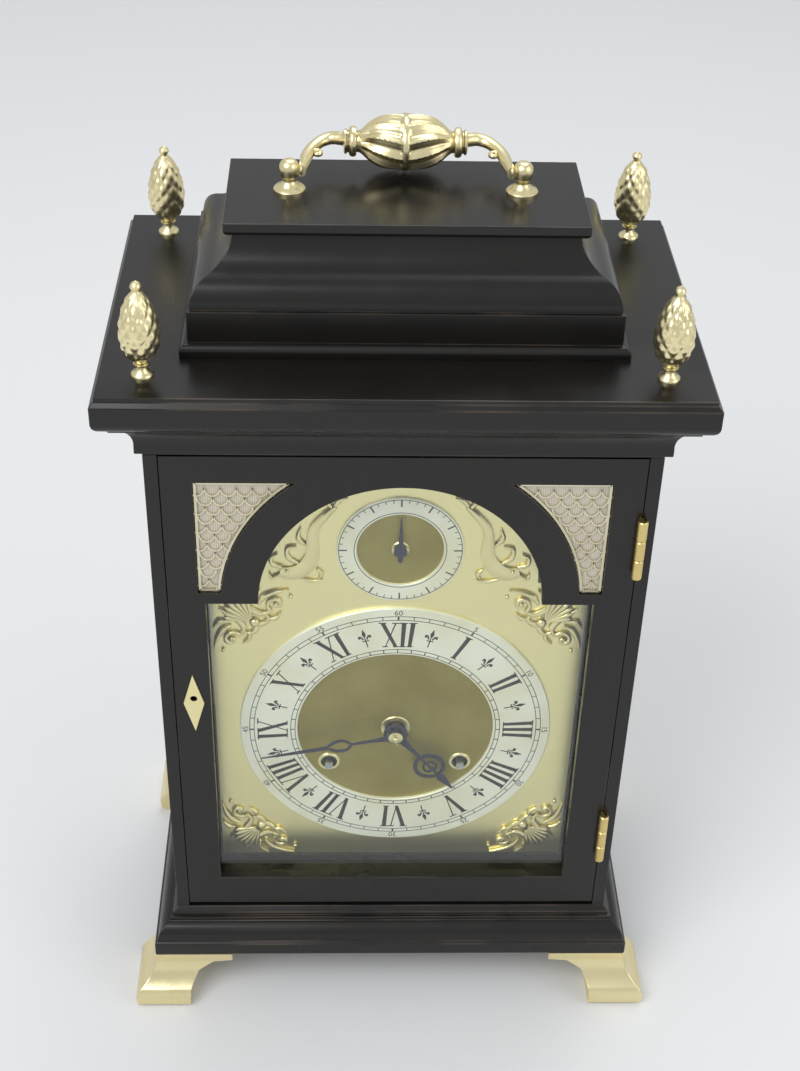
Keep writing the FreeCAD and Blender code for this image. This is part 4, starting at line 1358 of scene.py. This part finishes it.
@dataclass
class Dial:
    """The break-arch dial: plate, rings, engraving and cast spandrels."""

    face: float = -50.0
    ring_face: float = -51.5
    arch_face: float = -51.2
    fine: float = 0.35                  # width of a fine line

    def build(self) -> None:
        """Builds the dial from its plate outwards."""
        dress(DIAL_BRASS, "dial_plate")
        self.build_rings()
        self.engrave_ring()
        self.engrave_arch()
        self.build_ferrules()
        self.build_corners()
        self.build_dolphins()

    def build_rings(self) -> None:
        """Turns the chapter ring and the strike and silent ring."""
        rings = (
            ("silvered_chapter_ring", "chapter_ring", SILVERED, DIAL_CENTRE, 144,
             [(48.6, 0), (77.0, 0), (77.0, 1.2), (76.7, 1.5), (48.9, 1.5), (48.6, 1.2)]),
            ("silvered_arch_ring", "strike_silent_ring", SILVERED_ARCH, ARCH_CENTRE, 96,
             [(20.2, 0), (29.4, 0), (29.4, 1.0), (29.2, 1.2), (20.4, 1.2), (20.2, 1.0)]))
        for name, node, finish, centre, steps, profile in rings:
            ring = Blank.turned(profile, steps, closed=True)
            ring.moved(*facing(centre, self.face)).finished(name, finish, [node])

    def circle(self, centre: Point, radius: float, y: float) -> Blank:
        """Engraves a fine circle, filled with wax.

        Args:
            centre: its centre (x, z).
            radius: its radius.
            y: the face that it is cut into.

        Returns:
            The line.
        """
        low, high = radius - self.fine / 2, radius + self.fine / 2
        line = Blank.turned([(low, -0.2), (high, -0.2), (high, 0.04), (low, 0.04)], 144,
                            closed=True)
        return line.moved(*facing(centre, y))

    def tick(self, centre: Point, degrees: float, span: Point, width: float,
             y: float) -> Blank:
        """Engraves a radial line over a span of radii, at an angle clockwise from twelve."""
        return Blank.slat((-width / 2, width / 2), span, *waxed(y)).moved(
            *clockwise(degrees, centre))

    def numeral(self, signs: str, degrees: float) -> Blank:
        """Engraves a Roman numeral with its feet towards the centre.

        Args:
            signs: the numeral, of I, V and X.
            degrees: its angle clockwise from twelve.

        Returns:
            Its strokes.
        """
        foot, tall, middle_radius, thick, thin, reach = 53.4, 15.0, 61.0, 2.0, 0.6, 2.9
        widths = {"I": 3.9, "V": 8.2, "X": 8.8}
        strokes: list[list[Point]] = []
        x = -sum(widths[sign] for sign in signs) / 2

        def leg(top: float, bottom: float, width: float) -> None:
            """Adds a stroke from the numeral's top to its foot."""
            strokes.append([(top - width / 2, tall), (top + width / 2, tall),
                            (bottom + width / 2, 0), (bottom - width / 2, 0)])

        def serif(middle: float, half: float, z: float) -> None:
            """Adds a thin cross stroke."""
            strokes.append([(middle - half, z), (middle + half, z),
                            (middle + half, z + thin), (middle - half, z + thin)])

        for sign in signs:
            middle = x + widths[sign] / 2
            if sign == "I":
                leg(middle, middle, thick)
                serif(middle, 1.75, 0)
                serif(middle, 1.75, tall - thin)
            else:
                low = 0.0 if sign == "V" else reach
                leg(middle - reach, middle + low, thick)
                leg(middle + reach, middle - low, thin)
                for side in (-1, 1):
                    serif(middle + side * reach, 1.7, tall - thin)
                    if sign == "X":
                        serif(middle + side * reach, 1.5, 0)
            x += widths[sign]
        numeral = Blank()
        for stroke in strokes:
            # A stroke narrows towards the centre, as the ring does.
            bent = [(px * (foot + pz) / middle_radius, foot + pz) for px, pz in stroke]
            numeral.took(Blank.sawn(bent, *waxed(self.ring_face)))
        return numeral.moved(*clockwise(degrees))

    def half_hour(self, degrees: float) -> Blank:
        """Engraves the lily between two hours.

        Args:
            degrees: its angle clockwise from twelve.

        Returns:
            The lily.
        """
        groove = waxed(self.ring_face)
        petal = [(0.5, 60.2), (1.6, 62.4), (3.0, 62.6), (3.3, 61.2), (2.5, 60.6), (1.9, 61.4),
                 (1.3, 59.8)]
        lily = Blank().took(
            Blank.sawn([(0, 66.5), (-1.0, 63.4), (0, 60.2), (1.0, 63.4)], *groove),
            Blank.slat((-0.3, 0.3), (60.4, 55.2), *groove),
            Blank.slat((-1.7, 1.7), (59.4, 58.8), *groove),
            Blank.sawn(petal, *groove),
            Blank.sawn([(-x, z) for x, z in petal], *groove))
        return lily.moved(*clockwise(degrees))

    def minute_number(self, minute: int) -> Blank:
        """Engraves the number of a five-minute mark outside the minute ring.

        Args:
            minute: the number.

        Returns:
            Its strokes.
        """
        text = bpy.data.curves.new("minute_text", "FONT")
        text.body = str(minute)
        text.align_x = "CENTER"
        text.size = 4.2
        text.extrude = 0.12
        carrier = bpy.data.objects.new("minute_text", text)
        bpy.context.scene.collection.objects.link(carrier)
        bpy.context.view_layer.update()
        flat = bpy.data.meshes.new_from_object(carrier)
        number = Blank()
        number.mesh.from_mesh(flat)
        bpy.data.objects.remove(carrier)
        bpy.data.meshes.remove(flat)
        return number.moved(at(0, 72.9, 0), turn(90, Axis.X), at(0, self.ring_face + 0.08, 0),
                            *clockwise(6 * minute))

    def engrave_ring(self) -> None:
        """Engraves hours, half hours, minutes and quarters."""
        wax = Blank()
        signs = ["XII", "I", "II", "III", "IIII", "V", "VI", "VII", "VIII", "IX", "X", "XI"]
        for hour, sign in enumerate(signs):
            wax.took(self.numeral(sign, 30 * hour), self.half_hour(30 * hour + 15))
        quarters, minutes = (49.8, 51.9), (70.0, 72.2)
        for radius in (*quarters, *minutes):
            wax.took(self.circle(DIAL_CENTRE, radius, self.ring_face))
        for minute in range(60):
            width = 0.9 if minute % 5 == 0 else 0.4
            wax.took(self.tick(DIAL_CENTRE, 6 * minute, minutes, width, self.ring_face))
        for quarter in range(48):
            wax.took(self.tick(DIAL_CENTRE, 7.5 * quarter, quarters, 0.5, self.ring_face))
        wax.took(*[self.minute_number(5 * i) for i in range(1, 13)])
        wax.finished("dial_engraving", WAX)

    def engrave_arch(self) -> None:
        """Engraves the small ring."""
        wax = Blank()
        for radius in (21.3, 28.4):
            wax.took(self.circle(ARCH_CENTRE, radius, self.arch_face))
        for i in range(48):
            inner, width = (26.6, self.fine) if i % 4 else (24.6, 0.7)
            wax.took(self.tick(ARCH_CENTRE, 7.5 * i, (inner, 28.4), width, self.arch_face))
        wax.finished("arch_engraving", WAX)

    def build_ferrules(self) -> None:
        """Turns the rings round the winding holes and the hands' arbors."""
        ferrules = Blank()
        for centre, inner, outer in (((BARREL_X, BARREL_Z), 4.1, 5.6),
                                     ((-BARREL_X, BARREL_Z), 4.1, 5.6),
                                     (DIAL_CENTRE, 5.1, 7.4), (ARCH_CENTRE, 1.8, 4.2)):
            loop = [(inner, 0), (outer, 0), (outer, 0.3), (outer - 0.4, 0.7), (inner, 0.7)]
            ferrules.took(Blank.turned(loop, 48, closed=True).moved(*facing(centre, self.face)))
        ferrules.finished("hole_ferrules", GILT_FINE)

    def stroke(self, points: Path, widths: Sequence[float], height: float = 1.1,
               lift: float = 0.9) -> Blank:
        """Models one raised stroke of a casting.

        Args:
            points: points (x, z) of its middle line.
            widths: half widths along it.
            height: half height towards the viewer.
            lift: height of its middle above the dial plate.

        Returns:
            The stroke.
        """
        line = [(x, self.face - lift, z) for x, z in curve_through(points, 5)]
        return Blank.swept(line, widths, [height * 0.7, height, height * 0.7])

    def build_corners(self) -> None:
        """Models the four corner spandrels: a shell, two volutes and leaves."""
        corner = Blank()
        for lobe in range(7):
            angle = math.radians(9 + 12 * lobe)
            length = 13.5 + 2.5 * math.sin(math.radians(30 * lobe))
            ray = [(69 + r * math.cos(angle), 69 + r * math.sin(angle))
                   for r in (2.0, length * 0.5, length * 0.85, length)]
            corner.took(self.stroke(ray, [0.5, 1.1, 1.5, 0.5], 1.3, 1.1))
        half = [
            (spiral((57.5, 79.2), -60, 470, 5.2, 0.7, 14), [1.0, 1.3, 1.0, 0.5]),
            ([(60.2, 74.8), (64.5, 73.2), (69, 75.5), (73, 80), (76.5, 84.6)],
             [0.6, 1.5, 1.7, 1.2, 0.4]),
            ([(66, 79), (63.5, 83.2), (58, 86.2), (51.5, 87.6)], [0.5, 1.7, 1.2, 0.3]),
            ([(69, 81.5), (68.5, 85), (65, 87.6)], [0.5, 1.4, 0.4]),
            ([(62, 71), (58.5, 70.6), (55.4, 73.8)], [0.5, 1.3, 0.4]),
            ([(66.5, 66.5), (63.6, 67.6), (61.4, 70.2), (62.6, 73)], [1.4, 1.4, 1.1, 0.5]),
        ]
        for points, widths in half:
            one = self.stroke(points, widths)
            corner.took(one.copy(), one.copy(SWAP_XZ))
            one.mesh.free()
        for x, z, size in ((68, 68, 2.6), (57.5, 79.2, 1.3), (79.2, 57.5, 1.3),
                           (50.8, 83.4, 1.0), (83.4, 50.8, 1.0)):
            corner.took(Blank.pearl(size).moved(Matrix.Diagonal((1, 0.7, 1, 1)),
                                                at(x, self.face - 0.9, z)))
        four = Blank()
        for side, up in product((STAY, FLIP_X), (STAY, FLIP_Z)):
            four.took(corner.copy(side, up, at(0, 0, DIAL_CENTRE[1])))
        corner.mesh.free()
        four.finished("corner_castings", GILT_FINE, ["corner_spandrels"], smooth=55)

    def build_dolphins(self) -> None:
        """Models the pair of dolphins beside the small ring."""
        fish = Blank()
        strokes = [
            ([(55.5, 264.5), (50, 263.4), (44.4, 266.4), (40.6, 273), (40.4, 281), (39.4, 289),
              (34.4, 296.4), (29.6, 301.6)], [2.6, 4.0, 4.2, 3.6, 3.0, 2.5, 1.9, 1.0], 1.5, 1.0),
            ([(30.4, 300.4), (28.4, 304.6), (24.2, 306.4)], [0.7, 1.5, 0.3], 1.0),
            ([(31.4, 300.8), (33.6, 304.4), (31.6, 308.2)], [0.7, 1.5, 0.3], 1.0),
            ([(54.6, 267.2), (58.6, 268.4), (59.6, 272.4), (56.4, 274.6)],
             [0.9, 1.2, 1.0, 0.4], 1.0),
            ([(55.6, 262.6), (59.4, 260.8), (60.4, 263.6)], [1.0, 1.0, 0.3], 1.0),
            ([(47, 269.4), (51.4, 272.4), (51.8, 277.6), (47.6, 279)],
             [0.6, 1.3, 1.2, 0.4], 0.9),
            ([(42.8, 279), (46.8, 283.6), (45.6, 289.4)], [0.6, 1.4, 0.3], 0.9),
            ([(38.4, 266), (36.2, 263), (37.6, 260.2)], [0.6, 1.3, 0.4], 0.9),
            ([(46, 260.4), (41, 258.8), (35.6, 259.8)], [0.6, 1.1, 0.3], 0.9, 0.8),
        ]
        for stroke in strokes:
            fish.took(self.stroke(*stroke))
        fish.took(Blank.pearl(0.8).moved(at(52.4, self.face - 2.2, 265.6)))
        pair = Blank().took(fish.copy(), fish.copy(FLIP_X))
        fish.mesh.free()
        pair.finished("dolphin_castings", GILT_FINE, ["arch_spandrels"], smooth=55)


def filed(y: float, *bars: tuple[Path, Sequence[float]]) -> Blank:
    """Files the bars of a hand.

    Args:
        y: middle of the hand's thickness.
        bars: points (across, along) and half widths of each bar.

    Returns:
        The bars.
    """
    hand = Blank()
    for points, widths in bars:
        line = [(x, y, z) for x, z in curve_through(points)]
        hand.took(Blank.swept(line, widths, 0.5))
    return hand


@dataclass
class Hands:
    """Pierced hands of blued steel at 4:43, and the small hand of the arch."""

    hour_angle: float = 141.5
    minute_angle: float = 258.0
    hour_y: float = -55.0
    minute_y: float = -57.4
    small_y: float = -52.5

    def build(self) -> None:
        """Makes the three hands and their collets."""
        self.build_hour()
        self.build_minute()
        self.build_small()

    def build_hour(self) -> None:
        """Makes the hour hand: stem, two pierced lobes and a pointed tip."""
        hand = Blank.turned([(4.05, -0.6), (6.0, -0.6), (6.0, 0.4), (5.6, 0.6), (4.05, 0.6)], 48,
                            closed=True).moved(*facing((0, 0), self.hour_y))
        hand.took(filed(self.hour_y, ([(0, 5.6), (0, 13), (0, 22)], [2.6, 1.2, 1.0])))
        for side in (-1, 1):
            lobe = [(0, 21), (side * 3.4, 21.4), (side * 6.6, 25.4), (side * 6.8, 30.2),
                    (side * 3.8, 34.0), (0, 35.6)]
            curl = [(0, 25.0), (side * 2.6, 26.4), (side * 3.4, 29.4), (side * 1.4, 31.2),
                    (side * 0.6, 29.4)]
            hand.took(filed(self.hour_y, (lobe, [0.9, 1.1, 1.2, 1.1, 0.9]),
                            (curl, [0.5, 0.7, 0.6, 0.4])))
        hand.took(filed(self.hour_y, ([(0, 22), (0, 28), (0, 36)], [0.7, 0.6, 0.9]),
                        ([(0, 34.6), (0, 38), (0, 41), (0, 47.6)], [0.9, 2.5, 1.9, 0.25])))
        hand.moved(*clockwise(self.hour_angle)).finished(
            "pierced_hour_hand", BLUED, ["hour_hand"], "hour_wheel")

    def build_minute(self) -> None:
        """Makes the long minute hand and its domed collet."""
        hand = Blank.turned([(2.45, -0.6), (4.1, -0.6), (4.1, 0.4), (3.8, 0.6), (2.45, 0.6)], 40,
                            closed=True).moved(*facing((0, 0), self.minute_y))
        hand.took(filed(self.minute_y, ([(0, 3.6), (0, 12), (0, 23)], [2.2, 1.0, 0.8])))
        for side in (-1, 1):
            loop = [(0, 22.4), (side * 2.9, 25.2), (side * 3.2, 29.2), (side * 1.6, 32.8),
                    (0, 35)]
            hand.took(filed(self.minute_y, (loop, [0.7, 0.9, 0.9, 0.7])))
        hand.took(filed(self.minute_y, ([(0, 34.2), (0, 50), (0, 68.6)], [1.3, 1.0, 0.3])))
        hand.moved(*clockwise(self.minute_angle)).finished(
            "pierced_minute_hand", BLUED, ["minute_hand"], "centre_arbor")
        collet = Blank.turned([(0, -0.4), (3.6, -0.4), (3.6, 0.1), (2.6, 0.7), (1.5, 1.0),
                               (1.5, 1.6), (1.1, 2.0), (0, 2.1)], 40)
        collet.took(taper_pin(3.4, 0.35, 0.55, 1.35)).moved(
            *facing((0, 0), self.minute_y - 0.6), *clockwise(self.minute_angle)).finished(
            "hand_collet", GILT_FINE, body="centre_arbor")

    def build_small(self) -> None:
        """Makes the strike and silent hand."""
        seat = facing((0, 0), self.small_y)
        hand = Blank.turned([(0, -0.5), (3.0, -0.5), (3.2, 0.1), (2.4, 0.5), (0, 0.7)], 32)
        hand.moved(*seat).took(
            filed(self.small_y, ([(0, 2.4), (0, 9), (0, 19.6)], [1.4, 0.9, 0.25]),
                  ([(0, -2.4), (0, -4.4), (0, -6)], [0.8, 1.5, 0.4])),
            Blank.turned([(0, -8.6), (1.5, -8.6), (1.5, 0), (0, 0)], 24).moved(*seat))
        hand.moved(*clockwise(0, ARCH_CENTRE)).finished(
            "strike_silent_pointer", BLUED, ["strike_silent_hand"], "strike_silent_hand")


# ------------------------------------------------------------------------------- movement
@dataclass
class Movement:
    """The two trains between their plates, the pendulum and the bell."""

    pillar_x: float = 66.0
    pillar_z: Point = (99.0, 234.0)
    front: float = -31.5                # inner face of the front plate
    back: float = 30.5                  # outer face of the back plate
    pillar: float = 59.5                # length of a pillar
    rod_y: float = 37.2

    def build(self) -> None:
        """Finishes the wheels and makes what shows through the glass."""
        # Each wheel's centre (x, z), and the radius of its steel arbor.
        wheels = {
            "centre_wheel": (*DIAL_CENTRE, 4.0), "third_wheel": (8.097, 192.072, 3.1),
            "escape_wheel": (0, 213, 3.1), "pin_wheel": (-36.106, 178.504, 4.2),
            "warning_wheel": (-25.846, 196.275, 3.1), "fly": (-21.995, 210.649, 2.9),
            "minute_wheel": (0, 150, 1.3), "hour_wheel": (*DIAL_CENTRE, 0),
            "cannon_pinion": (*DIAL_CENTRE, 20), "going_barrel": (BARREL_X, BARREL_Z, 0),
            "strike_barrel": (-BARREL_X, BARREL_Z, 0),
        }
        for node, (x, z, radius) in wheels.items():
            dress(TurnedMetal("brass_on_steel_" + node, Slot.BRASS, "#DCC682", 0.28, 1.0,
                              centre=(x, 0, z), steel_radius=radius), node)
        dress(PLATE_BRASS, "front_plate", "back_cock")
        dress(STEEL, "pallets", "going_winding_arbor", "strike_winding_arbor", "going_click",
              "strike_click")
        soften("bell_stand", "filed_bell_stand", STEEL, 0.35)
        soften("hammer", "filed_hammer", STEEL, 0.35, "hammer")
        soften("back_plate", "polished_back_plate", PLATE_BRASS, 0.25, above=60)
        self.build_pillars()
        self.build_drums()
        self.build_bell()
        self.build_pendulum()
        self.build_fixings()

    def pillars(self) -> Iterable[Point]:
        """Returns the places (x, z) of the four pillars."""
        return product((-self.pillar_x, self.pillar_x), self.pillar_z)

    def build_pillars(self) -> None:
        """Turns the four baluster pillars between the plates."""
        belly = curve_through([(2.8, 6.2), (3.8, 11), (4.0, 16), (3.3, 21.5), (2.5, 25.6)], 5)
        half = [(4.9, 0), (4.9, 1.6), (3.1, 2.6), (2.7, 5.0), *belly, (2.7, 26.6), (4.3, 27.4),
                (4.8, 28.9)]
        far = [(radius, self.pillar - height) for radius, height in reversed(half)]
        four = Blank()
        for x, z in self.pillars():
            four.took(Blank.turned([(0, 0), *half, *far, (0, self.pillar)], 32).moved(
                *backing(x, self.front, z)))
        four.finished("baluster_pillars", DRUM_BRASS, ["pillars"])

    def build_drums(self) -> None:
        """Turns smooth sleeves with raised lips on the two barrels."""
        for name, x, front, back in (("going", BARREL_X, -26.8, 2.8),
                                     ("strike", -BARREL_X, -23.8, 7.3)):
            lip = [(26.4, 0), (27.0, 0), (27.3, 0.3), (27.3, 1.5), (27.05, 1.8)]
            far = [(radius, back - front - height) for radius, height in reversed(lip)]
            Blank.turned(lip + far, 96, closed=True).moved(*backing(x, front, BARREL_Z)).finished(
                name + "_drum", DRUM_BRASS, body=name + "_barrel")

    def build_bell(self) -> None:
        """Turns the bell with its thickened lip."""
        outer = curve_through([(41.0, 256), (40.9, 258), (39.6, 264), (36.9, 271), (32.4, 278),
                               (26.2, 283.6), (18, 287.8), (9, 290.2), (2.2, 290.8)], 5)
        inner = curve_through([(2.2, 288.8), (9, 288.2), (17.4, 285.6), (25, 281.6),
                               (30.8, 276.2), (35.1, 269.8), (37.6, 263.4), (38.4, 258),
                               (39.4, 256)], 5)
        Blank.turned(outer + inner, 96, closed=True).finished(
            "turned_bell", BELL_METAL, ["bell"])

    def build_pendulum(self) -> None:
        """Makes the lens-shaped bob on its flat rod, with its spring and block."""
        Blank.turned(curve_through(
            [(0, -4.0), (8, -3.5), (14.5, -2.0), (17.4, -0.5), (17.4, 0.5), (14.5, 2.0),
             (8, 3.5), (0, 4.0)], 4), 64).moved(*facing((0, BOB_Z), self.rod_y)).finished(
            "pendulum_bob", BOB_BRASS, body="pendulum")
        rod = Blank.slat((-1.2, 1.2), (BOB_Z, 226), 36.5, 38).eased(0.2)
        rod.took(Blank.slat((-2.2, 2.2), (226, 236.6), 37.1, 37.4),
                 Blank.slat((-3.2, 3.2), (221, 227), 36, 38.4))
        rod.finished("pendulum_rod", STEEL, ["pendulum"], "pendulum")

    def build_fixings(self) -> None:
        """Makes the pillar ends, their taper pins and the screws of the cock."""
        ends = Blank()
        for x, z in self.pillars():
            end = Blank.turned([(0, 0), (3.0, 0), (3.0, 2.2), (2.2, 3.0), (0, 3.2)], 32)
            end.took(taper_pin(5, 0.45, 0.75, 1.4))
            ends.took(end.moved(*backing(x, self.back, z)))
        for x in (-9, 9):
            head = Blank.turned([(0, 0), (1.9, 0), (1.9, 0.6), (1.3, 1.1), (0, 1.2)], 24)
            ends.took(head.moved(*backing(x, 33.0, 240)))
        ends.finished("plate_fixings", STEEL)


# --------------------------------------------------------------------------------- studio
@dataclass
class Studio:
    """Pale paper floor, soft lamps and the camera."""

    camera_at: Place = (-0.0261, -0.6801, 0.7506)
    down: float = 36.49
    heading: float = 2.34
    roll: float = 1.65
    lens: float = 57.66

    def build(self) -> None:
        """Sets the floor, the lamps, the world and the camera."""
        self.build_floor()
        self.build_world()
        self.hang_lamp("key_lamp", (-1.1, -1.3, 1.9), (0, -0.1, 0.2), 1.4, 30.0)
        self.hang_lamp("fill_lamp", (1.7, -1.0, 1.2), (0, 0, 0.2), 1.6, 10.0)
        self.hang_lamp("top_lamp", (0.2, 0.9, 2.1), (0, 0, 0.3), 1.2, 12.0)
        self.set_camera()

    def build_floor(self) -> None:
        """Lays the paper."""
        sheet = bmesh.new()
        bmesh.ops.create_grid(sheet, x_segments=4, y_segments=4, size=6.0)
        data = bpy.data.meshes.new("studio_floor")
        sheet.to_mesh(data)
        sheet.free()
        data.materials.append(PAPER.material())
        floor = bpy.data.objects.new("studio_floor", data)
        bpy.context.scene.collection.objects.link(floor)

    def build_world(self) -> None:
        """Surrounds the clock with plain pale light."""
        world = bpy.data.worlds.new("studio_world")
        world.use_nodes = True
        tree = world.node_tree
        tree.nodes.clear()
        around = add(tree, "Background", {"Color": linear("#E4E6E8"), "Strength": 0.8})
        seen = add(tree, "Background", {"Color": linear("#BBBCBE"), "Strength": 1.0})
        ray = add(tree, "LightPath").outputs["Is Camera Ray"]
        both = add(tree, "MixShader", {}, {0: ray, 1: around.outputs[0], 2: seen.outputs[0]})
        add(tree, "OutputWorld", links={"Surface": both.outputs[0]})
        bpy.context.scene.world = world

    def hang_lamp(self, name: str, place: Place, target: Place, size: float,
                  power: float) -> None:
        """Hangs a square soft lamp.

        Args:
            name: the lamp's name.
            place: where it hangs.
            target: what it points at.
            size: its side in metres.
            power: its power in watts.
        """
        light = bpy.data.lights.new(name, "AREA")
        light.shape = "SQUARE"
        light.size = size
        light.energy = power
        lamp = bpy.data.objects.new(name, light)
        lamp.location = place
        aim = Vector(target) - Vector(place)
        lamp.rotation_euler = aim.to_track_quat("-Z", "Y").to_euler()
        bpy.context.scene.collection.objects.link(lamp)

    def set_camera(self) -> None:
        """Puts the camera where the photograph was taken from."""
        down, heading, roll = map(math.radians, (self.down, self.heading, self.roll))
        ahead = Vector((math.sin(heading) * math.cos(down),
                        math.cos(heading) * math.cos(down), -math.sin(down)))
        right = Vector((math.cos(heading), -math.sin(heading), 0))
        above = right.cross(ahead)
        across = right * math.cos(roll) + above * math.sin(roll)
        above = above * math.cos(roll) - right * math.sin(roll)
        data = bpy.data.cameras.new("studio_camera")
        data.sensor_width = 36.0
        data.sensor_fit = "AUTO"
        data.lens = self.lens
        camera = bpy.data.objects.new("studio_camera", data)
        camera.matrix_world = (Matrix.Translation(self.camera_at)
                               @ Matrix((across, above, -ahead)).transposed().to_4x4())
        bpy.context.scene.collection.objects.link(camera)
        bpy.context.scene.camera = camera


def main() -> None:
    """Builds the clock and its studio, and logs each piece that it makes or dresses."""
    logging.basicConfig(level=logging.INFO, format="%(message)s")
    Studio().build()
    for assembly in (Case(), Finials(), CarryingHandle(), Doors(), Hinges(), Frets(), Dial(),
                     Hands(), Movement()):
        LOG.info("-- %s", type(assembly).__name__)
        assembly.build()
    bpy.context.scene.view_settings.view_transform = "Standard"


if __name__ == "__main__":
    main()
